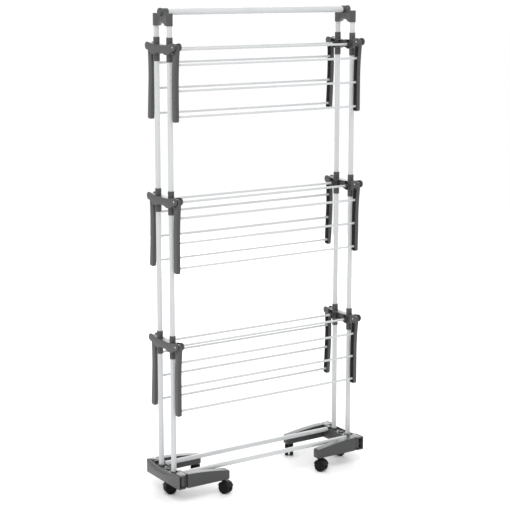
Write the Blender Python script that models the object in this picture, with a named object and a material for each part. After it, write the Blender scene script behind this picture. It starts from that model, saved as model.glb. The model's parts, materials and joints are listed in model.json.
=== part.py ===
"""Folding three-tier clothes drying rack on casters, shown folded for storage.

Units are metres, +Z is up and the floor is at z = 0. The rack's length runs along X, its front is at -Y,
and the origin is on the floor under the middle. Two end frames, each of two white posts, stand on grey
base beams and carry three tiers. Each tier is a pair of grey end brackets with two fixed rods, and two
three-rod wings that hinge on the bracket ends. Four legs fold in under the rack on vertical pins.
"""

import math

import bmesh
import bpy
from mathutils import Matrix, Vector

# --- Overall sizes ---------------------------------------------------------------------------------
END_FRAME_X = 0.373  # plane of the two posts of each end frame
POST_Y = 0.043
TIER_HEIGHTS = (0.534, 1.028, 1.534)
BAR_HEIGHT = 1.656
CLEARANCE = 0.0003  # gap wherever two separate pieces meet

# --- Tubes and rods --------------------------------------------------------------------------------
POST_RADIUS = 0.009
TOP_BAR_RADIUS = 0.011
BASE_BAR_RADIUS = 0.008
ROD_RADIUS = 0.004
TUBE_WALL = 0.001
ROD_WALL = 0.0006
SOCKET_DEPTH = 0.013

# --- Tier brackets ---------------------------------------------------------------------------------
BRACKET_WIDTH = 0.029
BRACKET_PLATE = 0.003
LUG_THICKNESS = 0.0055
LUG_RADIUS = 0.013
LUG_FROM = math.radians(105)  # the lug's round part, from its top to its underside
LUG_TO = math.radians(-75)
PIVOT_Y = 0.085
PIVOT_RISE = 0.010  # the wing pivots sit this far above the fixed rods
PIVOT_PIN_RADIUS = 0.003
SLOT_RELIEF = 0.0045
BRACKET_TOP_MIDDLE = 0.0155
BRACKET_TOP_SHOULDER = 0.0185
BRACKET_BELLY = 0.0165
BRACKET_ARCH = 0.0105
SLEEVE_WALL = 0.0011
SLEEVE_HALF_HEIGHT = 0.040
COLLAR_RADIUS = 0.007
COLLAR_REACH = 0.026

# --- Wings -----------------------------------------------------------------------------------------
ARM_LENGTH = 0.245
ARM_HALF_DEPTH = 0.012
ARM_BODY_WIDTH = 0.0132
ARM_WALL = 0.0022
ARM_BEND_LENGTH = 0.130
ARM_BEND_STEP = 0.032
ARM_TIP_RADIUS = 0.006
ROD_SPACING = ARM_LENGTH * 17 / 49
ROD_OUTER_DISTANCE = ARM_LENGTH - 0.017
ROD_DISTANCES = (ROD_OUTER_DISTANCE - 2 * ROD_SPACING, ROD_OUTER_DISTANCE - ROD_SPACING, ROD_OUTER_DISTANCE)
ROD_NAMES = ("inner", "middle", "outer")
ROD_SEAT_HALF = 0.0065
REAR_WING_LEAN = math.radians(3.5)

# --- Casters ---------------------------------------------------------------------------------------
WHEEL_RADIUS = 0.021
CASTER_HALF_WIDTH = 0.0155
WHEEL_INNER_FACE = 0.0031
WHEEL_EDGE = 0.0016
AXLE_RADIUS = 0.0025
HOOD_GAP = 0.0008
HOOD_WALL = 0.0018
HOOD_WEB_HALF = 0.0025
HOOD_OPEN_ANGLE = math.radians(14)
CASTER_TRAIL = 0.008
SEAT_RADIUS = 0.0075
SEAT_RISE = 0.0051
STEM_RADIUS = 0.004
STEM_LENGTH = 0.0235

# --- Base beams and legs ---------------------------------------------------------------------------
UNDERSIDE = 2 * WHEEL_RADIUS + HOOD_GAP + HOOD_WALL + SEAT_RISE + CLEARANCE
BEAM_HEIGHT = 0.049
BEAM_HALF_WIDTH = 0.020
BEAM_WALL = 0.003
DECK_DROP = 0.011  # the deck lies this far under the beam's highest faces
RIM_DROP = 0.005
HINGE_Y = 0.097
HINGE_PIN_RADIUS = 0.004
BARREL_RADIUS = 0.010
EAR_RADIUS = 0.0148
LOWER_EAR = 0.004
UPPER_EAR = 0.005
POST_SEAT_DEPTH = 0.029
POST_RING_WALL = 0.0032
BASE_BAR_Y = 0.060
BASE_BAR_DROP = 0.011
BAR_HOUSING_MARGIN = 0.0022
CENTRE_BOSS_RADIUS = 0.011
LEG_HALF_WIDTH = 0.0145
LEG_BUTT = 0.0155
LEG_LENGTH = 0.187
LEG_TIP_HEIGHT = 0.0315
LEG_CORNER = 0.008
LEG_DROOP = 1.7  # how late along the leg its upper face bends down
LEG_NECK_HALF = 0.008
LEG_STEM = 0.168
LEG_WALL = 0.003

# --- Top caps --------------------------------------------------------------------------------------
CAP_WALL = 0.0019
CAP_DEPTH_BELOW_BAR = 0.045
CAP_TOP_BELOW_BAR = 0.004
CAP_ARCH_HEIGHT = 0.012
CAP_ARCH_HALF = 0.032
KNOB_WALL = 0.0024
KNOB_INNER = 0.017
KNOB_OUTER = 0.0155
KNOB_SKIRT = 0.007
KNOB_SKIRT_ANGLE = math.radians(18)  # how far round the knob its skirt leaves it
KNOB_ROOT_ANGLE = math.radians(25)

# --- Caster swivel angles at rest ------------------------------------------------------------------
LEG_CASTER_TURN = {"front": math.radians(-70.0), "rear": math.radians(54.0)}
CENTRE_CASTER_TURN = {"left": math.radians(-10.0), "right": math.radians(190.0)}

SIDES = {"left": -1, "right": 1}
ROWS = {"front": -1, "rear": 1}
ROUND = 12
SMALL_ROUND = 8
WHEEL_ROUND = 16
AXIS_FRAMES = {
    "X": Matrix(((0, 0, 1), (1, 0, 0), (0, 1, 0))),
    "Y": Matrix(((1, 0, 0), (0, 0, 1), (0, 1, 0))),
    "Z": Matrix(((1, 0, 0), (0, 1, 0), (0, 0, 1))),
}
FINISHES = {
    "white_tube": ((0.80, 0.81, 0.82), 0.35, 0.0),
    "grey_plastic": ((0.115, 0.118, 0.118), 0.50, 0.0),
    "dark_plastic": ((0.060, 0.062, 0.062), 0.50, 0.0),
    "black_plastic": ((0.018, 0.018, 0.018), 0.45, 0.0),
}


# --- Shape helpers ---------------------------------------------------------------------------------
def clear_scene():
    """Remove whatever the scene holds."""
    for existing in list(bpy.data.objects):
        bpy.data.objects.remove(existing, do_unlink=True)


def material(finish):
    """Return the material of a finish, made the first time that it is asked for."""
    found = bpy.data.materials.get(finish)
    if found:
        return found
    colour, roughness, metallic = FINISHES[finish]
    made = bpy.data.materials.new(finish)
    made.use_nodes = True
    shader = made.node_tree.nodes["Principled BSDF"]
    shader.inputs["Base Color"].default_value = (*colour, 1.0)
    shader.inputs["Roughness"].default_value = roughness
    shader.inputs["Metallic"].default_value = metallic
    return made


def mesh_of(bm, name):
    """Turn a bmesh into a mesh whose faces point out."""
    bmesh.ops.recalc_face_normals(bm, faces=bm.faces)
    mesh = bpy.data.meshes.new(name)
    bm.to_mesh(mesh)
    bm.free()
    return mesh


def shape(bm, name="shape"):
    """Turn a bmesh into a loose object."""
    made = bpy.data.objects.new(name, mesh_of(bm, name))
    bpy.context.scene.collection.objects.link(made)
    return made


def prism(outline, low, high, axis="Z"):
    """Extrude a closed outline along an axis; its points are (Y, Z), (X, Z) or (X, Y)."""
    frame = AXIS_FRAMES[axis]
    bm = bmesh.new()
    ends = [[bm.verts.new(frame @ Vector((u, v, w))) for u, v in outline] for w in (low, high)]
    bm.faces.new(ends[0])
    bm.faces.new(ends[1])
    count = len(outline)
    for i in range(count):
        j = (i + 1) % count
        bm.faces.new((ends[0][i], ends[0][j], ends[1][j], ends[1][i]))
    return shape(bm)


def box(x, y, z):
    """A block given by its (low, high) in X, Y and Z."""
    return prism([(x[0], y[0]), (x[1], y[0]), (x[1], y[1]), (x[0], y[1])], *z)


def arc(centre, radius, start, end, steps):
    """Points along a circle's arc, from angle start to angle end."""
    turns = [start + (end - start) * i / steps for i in range(steps + 1)]
    return [(centre[0] + radius * math.cos(a), centre[1] + radius * math.sin(a)) for a in turns]


def ring(centre, radius, sides):
    """The points of a whole circle, one of them straight along the outline's second axis."""
    return arc(centre, radius, -math.pi / 2, 1.5 * math.pi, sides)[:-1]


def bore(radius, sides=ROUND):
    """The corner radius of a hole whose flats clear a round bar of this radius."""
    return (radius + CLEARANCE) / math.cos(math.pi / sides)


def rod(centre, radius, low, high, axis="Z", sides=ROUND):
    """A solid round bar along an axis."""
    return prism(ring(centre, radius, sides), low, high, axis)


def tube(centre, radius, wall, low, high, axis="Z", sides=ROUND):
    """An open round tube along an axis."""
    frame = AXIS_FRAMES[axis]
    bm = bmesh.new()
    loops = []
    for size, w in ((radius, low), (radius, high), (radius - wall, high), (radius - wall, low)):
        loops.append([bm.verts.new(frame @ Vector((u, v, w))) for u, v in ring(centre, size, sides)])
    for k in range(4):
        first, second = loops[k], loops[(k + 1) % 4]
        for i in range(sides):
            j = (i + 1) % sides
            bm.faces.new((first[i], first[j], second[j], second[i]))
    return shape(bm)


def turned(profile, sides):
    """Spin (radius, y) points about the Y axis; the ends close at the axis."""
    bm = bmesh.new()
    loops = []
    for radius, y in profile:
        loops.append([bm.verts.new((u, y, v)) for u, v in ring((0.0, 0.0), radius, sides)])
    bm.faces.new(loops[0])
    bm.faces.new(loops[-1])
    for first, second in zip(loops, loops[1:]):
        for i in range(sides):
            j = (i + 1) % sides
            bm.faces.new((first[i], first[j], second[j], second[i]))
    return shape(bm)


def combine(body, operation, tools):
    """Join tools to a body, or cut them from it, and remove them."""
    for tool in tools:
        step = body.modifiers.new(operation, "BOOLEAN")
        step.operation = operation
        step.object = tool
        step.solver = "EXACT"
    bpy.context.view_layer.update()
    graph = bpy.context.evaluated_depsgraph_get()
    result = bpy.data.meshes.new_from_object(body.evaluated_get(graph))
    body.modifiers.clear()
    body.data = result
    for tool in tools:
        bpy.data.objects.remove(tool, do_unlink=True)
    return body


def join(body, *tools):
    """Unite shapes into one solid."""
    return combine(body, "UNION", tools)


def cut(body, *tools):
    """Cut shapes from a solid."""
    return combine(body, "DIFFERENCE", tools)


def common(body, *tools):
    """Keep what a solid shares with other shapes."""
    return combine(body, "INTERSECT", tools)


def mirrored(mesh, x=1, y=1):
    """A mesh, or its mirror image in X, in Y or in both."""
    if x == 1 and y == 1:
        return mesh
    copy = mesh.copy()
    copy.transform(Matrix.Diagonal((x, y, 1, 1)))
    if x * y < 0:
        copy.flip_normals()
    return copy


def taken(body):
    """Take a finished loose object's mesh and remove the object."""
    mesh = body.data
    bpy.data.objects.remove(body, do_unlink=True)
    return mesh


def place(name, mesh, finish, location=(0, 0, 0), turn=0.0, parent=None):
    """Make a named piece of the rack from a mesh."""
    piece = bpy.data.objects.new(name, mesh)
    bpy.context.scene.collection.objects.link(piece)
    piece.location = location
    piece.rotation_euler = (0, 0, turn)
    piece.parent = parent
    mesh.materials.clear()
    mesh.materials.append(material(finish))
    mesh.shade_smooth()
    mesh.set_sharp_from_angle(angle=math.radians(35))
    return piece


# --- Sizes that follow from the ones above ---------------------------------------------------------
BASE_TOP = UNDERSIDE + BEAM_HEIGHT
DECK = BASE_TOP - DECK_DROP
POST_FOOT = BASE_TOP - POST_SEAT_DEPTH
POST_BORE = bore(POST_RADIUS)
CAP_BOTTOM = BAR_HEIGHT - CAP_DEPTH_BELOW_BAR
CAP_TOP = BAR_HEIGHT - CAP_TOP_BELOW_BAR
POST_HEAD = CAP_BOTTOM + POST_SEAT_DEPTH
CAP_RADIUS = POST_BORE + CAP_WALL
KNOB_RADIUS = bore(TOP_BAR_RADIUS) + KNOB_WALL
SLEEVE_RADIUS = POST_BORE + SLEEVE_WALL
SLOT_HALF = BRACKET_WIDTH / 2 - LUG_THICKNESS
HEAD_HALF = SLOT_HALF - CLEARANCE
ARM_INNER_FACE = END_FRAME_X - HEAD_HALF
ROD_END = ARM_INNER_FACE + ARM_BODY_WIDTH - ARM_WALL
STEM_TOP = UNDERSIDE + STEM_LENGTH
STEM_BORE = bore(STEM_RADIUS, SMALL_ROUND)


# --- Posts, bars and caps --------------------------------------------------------------------------
def build_posts():
    """Four white posts, from their sockets in the base beams up into the top caps."""
    for row, y_sign in ROWS.items():
        for side, x_sign in SIDES.items():
            post = tube((0, 0), POST_RADIUS, TUBE_WALL, POST_FOOT + CLEARANCE, POST_HEAD - CLEARANCE)
            spot = (x_sign * END_FRAME_X, y_sign * POST_Y, 0)
            place(f"post_{row}_{side}", taken(post), "white_tube", spot)


def build_long_bars():
    """The hanging bar on top and the two bars that tie the base beams together."""
    reach = END_FRAME_X + KNOB_OUTER - KNOB_WALL - CLEARANCE
    bar = tube((0, BAR_HEIGHT), TOP_BAR_RADIUS, TUBE_WALL, -reach, reach, "X")
    place("top_bar", taken(bar), "white_tube")
    reach = END_FRAME_X - BEAM_HALF_WIDTH + SOCKET_DEPTH - CLEARANCE
    for row, y_sign in ROWS.items():
        bar = tube((0, 0), BASE_BAR_RADIUS, TUBE_WALL, -reach, reach, "X")
        spot = (0, y_sign * BASE_BAR_Y, BASE_TOP - BASE_BAR_DROP)
        place(f"base_bar_{row}", taken(bar), "white_tube", spot)


def cap_mesh():
    """The right-hand top cap: a bridge over two posts with a knob that holds the top bar."""
    plan = arc((0, POST_Y), CAP_RADIUS, 0, math.pi, 6)
    plan += arc((0, -POST_Y), CAP_RADIUS, math.pi, 2 * math.pi, 6)
    body = prism(plan, CAP_BOTTOM, CAP_TOP)
    skirt = CAP_TOP - CLEARANCE
    knob_outline = [(KNOB_RADIUS + KNOB_SKIRT, skirt)]
    knob_outline += arc((0, BAR_HEIGHT), KNOB_RADIUS, KNOB_SKIRT_ANGLE, math.pi - KNOB_SKIRT_ANGLE, 10)
    knob_outline += [(-KNOB_RADIUS - KNOB_SKIRT, skirt)]
    root = (math.pi + KNOB_ROOT_ANGLE, 2 * math.pi - KNOB_ROOT_ANGLE)
    knob_outline += arc((0, BAR_HEIGHT), KNOB_RADIUS, *root, 6)
    join(body, prism(knob_outline, -KNOB_INNER, KNOB_OUTER, "X"))
    arch = [(-CAP_ARCH_HALF, CAP_BOTTOM - CLEARANCE), (CAP_ARCH_HALF, CAP_BOTTOM - CLEARANCE)]
    for share in (2 / 3, 1 / 3, 0, -1 / 3, -2 / 3):
        arch.append((CAP_ARCH_HALF * share, CAP_BOTTOM + CAP_ARCH_HEIGHT * (1 - share**2)))
    cutters = [prism(arch, -2 * CAP_RADIUS, 2 * CAP_RADIUS, "X")]
    for y in (-POST_Y, POST_Y):
        cutters.append(rod((0, y), POST_BORE, CAP_BOTTOM - CLEARANCE, POST_HEAD))
    cutters.append(rod((0, BAR_HEIGHT), bore(TOP_BAR_RADIUS), -2 * KNOB_INNER, KNOB_OUTER - KNOB_WALL, "X"))
    return taken(cut(body, *cutters))


def build_caps():
    """A top cap on each end frame."""
    mesh = cap_mesh()
    for side, x_sign in SIDES.items():
        copy = mirrored(mesh, x=x_sign)
        place(f"top_cap_{side}", copy, "grey_plastic", (x_sign * END_FRAME_X, 0, 0))


# --- Tiers -----------------------------------------------------------------------------------------
def bracket_outline():
    """The bracket seen from the end of the rack: a shallow bow with a round lug at each pivot."""
    shoulder = POST_Y + SLEEVE_RADIUS
    lug = arc((PIVOT_Y, PIVOT_RISE), LUG_RADIUS, LUG_FROM, LUG_TO, 8)
    half = [(POST_Y / 2, BRACKET_TOP_MIDDLE), (shoulder, BRACKET_TOP_SHOULDER)] + lug
    half += [(shoulder, -BRACKET_BELLY + SLEEVE_WALL), (POST_Y - POST_BORE / 2, -BRACKET_BELLY)]
    half += [(POST_Y / 2, -BRACKET_ARCH - SLEEVE_WALL), (POST_Y / 4, -BRACKET_ARCH)]
    return half + [(-y, z) for y, z in reversed(half)]


def bracket_shapes(x_sign):
    """Return the solid shapes, the hollows and the pins of one end bracket, in the tier's frame."""
    middle = x_sign * END_FRAME_X

    def span(inboard, outboard):
        """X range from distances measured outboard of the post plane."""
        return sorted((middle + x_sign * inboard, middle + x_sign * outboard))

    half = BRACKET_WIDTH / 2
    solids = [prism(bracket_outline(), *span(-half, half), "X")]
    hollows, pins = [], []
    pocket_top = BRACKET_TOP_MIDDLE - BRACKET_PLATE
    pocket_floor = -BRACKET_ARCH + BRACKET_PLATE
    pocket_x = span(-2 * half, half - BRACKET_PLATE)
    reach = POST_Y - SLEEVE_RADIUS - CLEARANCE
    hollows.append(box(pocket_x, (-reach, reach), (pocket_floor, pocket_top)))
    slot_start = PIVOT_Y - LUG_RADIUS - SLOT_RELIEF
    for y_sign in ROWS.values():
        post = (middle, y_sign * POST_Y)
        pivot = (y_sign * PIVOT_Y, PIVOT_RISE)
        solids.append(rod(post, SLEEVE_RADIUS, -SLEEVE_HALF_HEIGHT, SLEEVE_HALF_HEIGHT))
        collar = span(-COLLAR_REACH, -SLEEVE_RADIUS / 2)
        solids.append(rod((y_sign * POST_Y, 0), COLLAR_RADIUS, *collar, "X", SMALL_ROUND))
        slot_y = sorted((y_sign * slot_start, y_sign * (PIVOT_Y + 2 * LUG_RADIUS)))
        slot_z = (PIVOT_RISE - 3 * LUG_RADIUS, PIVOT_RISE + 2 * LUG_RADIUS)
        hollows.append(box(span(-SLOT_HALF, SLOT_HALF), slot_y, slot_z))
        hollows.append(rod(post, POST_BORE, -2 * SLEEVE_HALF_HEIGHT, 2 * SLEEVE_HALF_HEIGHT))
        pin = span(-half + CLEARANCE, half - CLEARANCE)
        pins.append(rod(pivot, PIVOT_PIN_RADIUS, *pin, "X", SMALL_ROUND))
    return solids, hollows, pins


def tier_mesh():
    """One tier's frame: two end brackets with their wing pins, joined by the two fixed rods."""
    solids, hollows, pins = [], [], []
    for x_sign in SIDES.values():
        bracket = bracket_shapes(x_sign)
        solids += bracket[0]
        hollows += bracket[1]
        pins += bracket[2]
    reach = END_FRAME_X - SLEEVE_RADIUS + SLEEVE_WALL / 2
    fixed = [rod((y * POST_Y, 0), ROD_RADIUS, -reach, reach, "X", SMALL_ROUND) for y in ROWS.values()]
    body = cut(join(*solids), *hollows)
    return taken(join(body, *fixed, *pins))


def build_tiers():
    """The three tier frames."""
    mesh = tier_mesh()
    for number, height in enumerate(TIER_HEIGHTS, start=1):
        place(f"tier_{number}_frame", mesh, "grey_plastic", (0, 0, height))


# --- Wings -----------------------------------------------------------------------------------------
def arm_offset(distance):
    """How far inboard the arm's middle line has bent at a distance below its pivot."""
    left = max(0.0, 1 - distance / ARM_BEND_LENGTH)
    return PIVOT_RISE * (1 - left**2)


def arm_outline(inset, start, end):
    """Both edges of the arm between two distances from the pivot, less an inset, as (Y, Z)."""
    steps = max(1, round((min(end, ARM_BEND_LENGTH) - start) / ARM_BEND_STEP))
    stations = [start + (min(end, ARM_BEND_LENGTH) - start) * i / steps for i in range(steps + 1)]
    if end > ARM_BEND_LENGTH:
        stations = [s for s in stations if start < ARM_BEND_LENGTH] or [start]
        stations.append(end)
    half = ARM_HALF_DEPTH - inset
    inboard = [(arm_offset(s) + half, -s) for s in stations]
    outboard = [(arm_offset(s) - half, -s) for s in reversed(stations)]
    return inboard, outboard


def arm_mesh():
    """The left arm of a front wing: a channel open towards the middle, hung from its pivot."""
    inboard, outboard = arm_outline(0.0, LUG_RADIUS, ARM_LENGTH - ARM_TIP_RADIUS)
    turn = ARM_HALF_DEPTH - ARM_TIP_RADIUS
    low = -ARM_LENGTH + ARM_TIP_RADIUS
    end = arc((PIVOT_RISE + turn, low), ARM_TIP_RADIUS, 0, -math.pi / 2, 3)[1:]
    end += arc((PIVOT_RISE - turn, low), ARM_TIP_RADIUS, -math.pi / 2, -math.pi, 3)[:-1]
    head = arc((0, 0), LUG_RADIUS, math.radians(190), math.radians(-10), 7)
    inner = -ARM_INNER_FACE
    body = prism(head + inboard + end + outboard, inner - ARM_BODY_WIDTH, inner, "X")
    join(body, rod((0, 0), LUG_RADIUS, inner - 2 * HEAD_HALF, inner - CLEARANCE, "X", WHEEL_ROUND))
    floor = inner - ARM_BODY_WIDTH + ARM_WALL
    stops = [LUG_RADIUS + 0.004]
    for distance in ROD_DISTANCES:
        stops += [distance - ROD_SEAT_HALF, distance + ROD_SEAT_HALF]
    cutters = []
    for start, stop in zip(stops[0::2], stops[1::2]):
        sides = arm_outline(ARM_WALL, start, stop)
        cutters.append(prism(sides[0] + sides[1], floor, inner + ARM_WALL, "X"))
    for distance in ROD_DISTANCES:
        seat = (arm_offset(distance), -distance)
        cutters.append(rod(seat, bore(ROD_RADIUS, SMALL_ROUND), floor, inner + ARM_WALL, "X", SMALL_ROUND))
    pin_bore = bore(PIVOT_PIN_RADIUS, SMALL_ROUND)
    cutters.append(rod((0, 0), pin_bore, inner - 3 * HEAD_HALF, inner + ARM_WALL, "X", SMALL_ROUND))
    return taken(cut(body, *cutters))


def build_wings():
    """Six hinged wings, each of two arms and three rods, hanging from the brackets' pins."""
    arm = arm_mesh()
    reach = ROD_END - CLEARANCE
    for row, y_sign in ROWS.items():
        arms = {side: mirrored(arm, -x_sign, -y_sign) for side, x_sign in SIDES.items()}
        rods = {}
        for name, distance in zip(ROD_NAMES, ROD_DISTANCES):
            seat = (-y_sign * arm_offset(distance), -distance)
            rods[name] = taken(tube(seat, ROD_RADIUS, ROD_WALL, -reach, reach, "X", SMALL_ROUND))
        for number, height in enumerate(TIER_HEIGHTS, start=1):
            pivot = bpy.data.objects.new(f"wing_{number}_{row}_pivot", None)
            bpy.context.scene.collection.objects.link(pivot)
            pivot.location = (0, y_sign * PIVOT_Y, height + PIVOT_RISE)
            pivot.rotation_euler = (REAR_WING_LEAN if row == "rear" else 0.0, 0, 0)
            for side, mesh in arms.items():
                place(f"wing_{number}_{row}_arm_{side}", mesh, "grey_plastic", parent=pivot)
            for name, mesh in rods.items():
                place(f"wing_{number}_{row}_rod_{name}", mesh, "white_tube", parent=pivot)


# --- Base beams and legs ---------------------------------------------------------------------------
def ear_outline():
    """A hinge ear in plan: round on the side that the leg swings past, square at the outer wall."""
    root = HINGE_Y - LEG_BUTT - BEAM_WALL
    outline = [(BEAM_HALF_WIDTH, root), (BEAM_HALF_WIDTH, HINGE_Y + EAR_RADIUS)]
    outline += arc((0, HINGE_Y), EAR_RADIUS, math.pi / 2, math.pi, 6)
    return outline + [(-EAR_RADIUS, root)]


def beam_mesh():
    """The right-hand base beam, in a frame with X = 0 at the posts and +X outboard."""
    end = HINGE_Y - LEG_BUTT
    wide = (-BEAM_HALF_WIDTH, BEAM_HALF_WIDTH)
    outer_wall = (BEAM_HALF_WIDTH - BEAM_WALL, BEAM_HALF_WIDTH)
    housing_x = (-BEAM_HALF_WIDTH, -BEAM_HALF_WIDTH + SOCKET_DEPTH + BAR_HOUSING_MARGIN)
    housing_half = bore(BASE_BAR_RADIUS) + BAR_HOUSING_MARGIN
    wall_end = HINGE_Y + EAR_RADIUS + 4 * CLEARANCE
    body = box(wide, (-end, end), (UNDERSIDE, DECK))
    solids = [
        box(outer_wall, (-wall_end, wall_end), (UNDERSIDE, BASE_TOP - RIM_DROP)),
        rod((0, 0), CENTRE_BOSS_RADIUS, DECK - BEAM_WALL, DECK + RIM_DROP),
    ]
    bar_height = BASE_TOP - BASE_BAR_DROP
    hollows = [rod((0, 0), STEM_BORE, UNDERSIDE - BEAM_WALL, STEM_TOP + CLEARANCE, "Z", SMALL_ROUND)]
    pins = []
    pin_span = (UNDERSIDE + BEAM_WALL, BASE_TOP - BEAM_WALL)
    ring_span = (DECK - BEAM_WALL, BASE_TOP - RIM_DROP + BEAM_WALL / 2)
    socket = (-2 * BEAM_HALF_WIDTH, -BEAM_HALF_WIDTH + SOCKET_DEPTH)
    inside = BEAM_HALF_WIDTH - BEAM_WALL
    for y_sign in ROWS.values():
        outline = [(x, y_sign * y) for x, y in ear_outline()]
        solids.append(prism(outline, UNDERSIDE, UNDERSIDE + LOWER_EAR))
        solids.append(prism(outline, BASE_TOP - UPPER_EAR, BASE_TOP))
        pins.append(rod((0, y_sign * HINGE_Y), HINGE_PIN_RADIUS, *pin_span))
        block = sorted((y_sign * (end - 3 * BEAM_WALL), y_sign * end))
        solids.append(box(wide, block, (DECK - BEAM_WALL, BASE_TOP)))
        bar_y = y_sign * BASE_BAR_Y
        housing_y = (bar_y - housing_half, bar_y + housing_half)
        solids.append(box(housing_x, housing_y, (DECK - BEAM_WALL, bar_height + housing_half)))
        solids.append(rod((0, y_sign * POST_Y), POST_BORE + POST_RING_WALL, *ring_span))
        hollows.append(rod((0, y_sign * POST_Y), POST_BORE, POST_FOOT, BASE_TOP + BEAM_WALL))
        hollows.append(rod((bar_y, bar_height), bore(BASE_BAR_RADIUS), *socket, "X"))
        for near, far, ceiling in (
            (CENTRE_BOSS_RADIUS + BEAM_WALL / 2, POST_Y - POST_BORE - BEAM_WALL / 2, DECK - BEAM_WALL),
            (BASE_BAR_Y - BASE_BAR_RADIUS + BEAM_WALL, end - BEAM_WALL, POST_FOOT + BEAM_WALL),
        ):
            span = sorted((y_sign * near, y_sign * far))
            hollows.append(box((-inside, inside), span, (UNDERSIDE - BEAM_WALL, ceiling)))
    return taken(join(cut(join(body, *solids), *hollows), *pins))


def leg_top(distance):
    """Height of the leg's upper face at a distance from its hinge: it droops towards the tip."""
    share = (distance - LEG_BUTT) / (LEG_LENGTH - LEG_BUTT)
    return BASE_TOP - (BEAM_HEIGHT - LEG_TIP_HEIGHT) * share**LEG_DROOP


def leg_mesh():
    """The front left leg, in a frame with its hinge axis at X = Y = 0 and its tip towards +X."""
    tip = LEG_LENGTH - LEG_CORNER
    side = [(LEG_BUTT, UNDERSIDE), (tip, UNDERSIDE)]
    side += arc((tip, UNDERSIDE + LEG_CORNER), LEG_CORNER, -math.pi / 2, 0, 3)[1:]
    side += arc((tip, leg_top(LEG_LENGTH) - LEG_CORNER), LEG_CORNER, 0, math.radians(75), 3)
    side += [(x, leg_top(x)) for x in (LEG_BUTT + (tip - LEG_BUTT) * k / 6 for k in range(5, -1, -1))]
    body = prism(side, -LEG_HALF_WIDTH, LEG_HALF_WIDTH, "Y")
    shoulder = LEG_HALF_WIDTH - LEG_CORNER
    plan = [(0, LEG_HALF_WIDTH), (0, -LEG_HALF_WIDTH)]
    plan += arc((tip, -shoulder), LEG_CORNER, -math.pi / 2, 0, 3)
    plan += arc((tip, shoulder), LEG_CORNER, 0, math.pi / 2, 3)
    common(body, prism(plan, 0, 2 * BASE_TOP))
    low = UNDERSIDE + LOWER_EAR + CLEARANCE
    high = BASE_TOP - UPPER_EAR - CLEARANCE
    neck_z = (low + LEG_WALL / 2, high - LEG_WALL / 2)
    neck = box((0, LEG_BUTT + LEG_WALL), (-LEG_NECK_HALF, LEG_NECK_HALF), neck_z)
    join(body, rod((0, 0), BARREL_RADIUS, low, high), neck)
    pocket = box(
        (LEG_BUTT + LEG_WALL, LEG_STEM - STEM_BORE - 3 * LEG_WALL),
        (-LEG_HALF_WIDTH + LEG_WALL, LEG_HALF_WIDTH - LEG_WALL),
        (UNDERSIDE - LEG_WALL, UNDERSIDE + LEG_TIP_HEIGHT - LEG_WALL),
    )
    hollows = [
        pocket,
        rod((0, 0), bore(HINGE_PIN_RADIUS), 0, 2 * BASE_TOP),
        rod((LEG_STEM, 0), STEM_BORE, UNDERSIDE - LEG_WALL, STEM_TOP + CLEARANCE, "Z", SMALL_ROUND),
    ]
    return taken(cut(body, *hollows))


def build_base():
    """Both base beams, the four legs folded in under the rack, and the six casters."""
    beam, leg = beam_mesh(), leg_mesh()
    hood, wheels = hood_mesh(), wheel_mesh()
    for side, x_sign in SIDES.items():
        middle = x_sign * END_FRAME_X
        place(f"base_beam_{side}", mirrored(beam, x=x_sign), "grey_plastic", (middle, 0, 0))
        place_caster(f"centre_{side}", hood, wheels, (middle, 0, 0), CENTRE_CASTER_TURN[side])
        for row, y_sign in ROWS.items():
            hinge = (middle, y_sign * HINGE_Y, 0)
            place(f"leg_{row}_{side}", mirrored(leg, -x_sign, -y_sign), "dark_plastic", hinge)
            spot = (middle - x_sign * LEG_STEM, y_sign * HINGE_Y, 0)
            place_caster(f"{row}_{side}", hood, wheels, spot, LEG_CASTER_TURN[row])


# --- Casters ---------------------------------------------------------------------------------------
def hood_mesh():
    """A caster's hood and stem, with the swivel axis at X = Y = 0 and the axle trailing towards +X."""
    axle = (CASTER_TRAIL, WHEEL_RADIUS)
    inner = WHEEL_RADIUS + HOOD_GAP
    outer = inner + HOOD_WALL
    first, last = HOOD_OPEN_ANGLE, math.pi - HOOD_OPEN_ANGLE
    shell = arc(axle, outer, first, last, 7) + arc(axle, inner, last, first, 7)
    body = prism(shell, -CASTER_HALF_WIDTH, CASTER_HALF_WIDTH, "Y")
    seat = rod((0, 0), SEAT_RADIUS, WHEEL_RADIUS + inner / 2, UNDERSIDE - CLEARANCE)
    join(body, seat, rod((0, 0), STEM_RADIUS, UNDERSIDE - BEAM_WALL, STEM_TOP, "Z", SMALL_ROUND))
    spaces = []
    for sign in (-1, 1):
        reach = sorted((sign * HOOD_WEB_HALF, sign * 2 * CASTER_HALF_WIDTH))
        spaces.append(rod(axle, inner, *reach, "Y", WHEEL_ROUND))
    cut(body, *spaces)
    middle = inner + HOOD_WALL / 2
    web = arc(axle, middle, first, last, 7)
    web += arc(axle, 3 * AXLE_RADIUS, math.radians(200), math.radians(340), 4)
    join(body, prism(web, -HOOD_WEB_HALF, HOOD_WEB_HALF, "Y"))
    width = (-CASTER_HALF_WIDTH, CASTER_HALF_WIDTH)
    return taken(cut(body, rod(axle, bore(AXLE_RADIUS, SMALL_ROUND), *width, "Y", SMALL_ROUND)))


def wheel_mesh():
    """A caster's two wheels on their axle, centred on the axle."""
    face = CASTER_HALF_WIDTH
    half = [(AXLE_RADIUS, WHEEL_INNER_FACE), (WHEEL_RADIUS, WHEEL_INNER_FACE)]
    half += [(WHEEL_RADIUS, face - WHEEL_EDGE), (WHEEL_RADIUS - WHEEL_EDGE, face)]
    profile = [(radius, -y) for radius, y in reversed(half)] + half
    return taken(turned(profile, WHEEL_ROUND))


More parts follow.
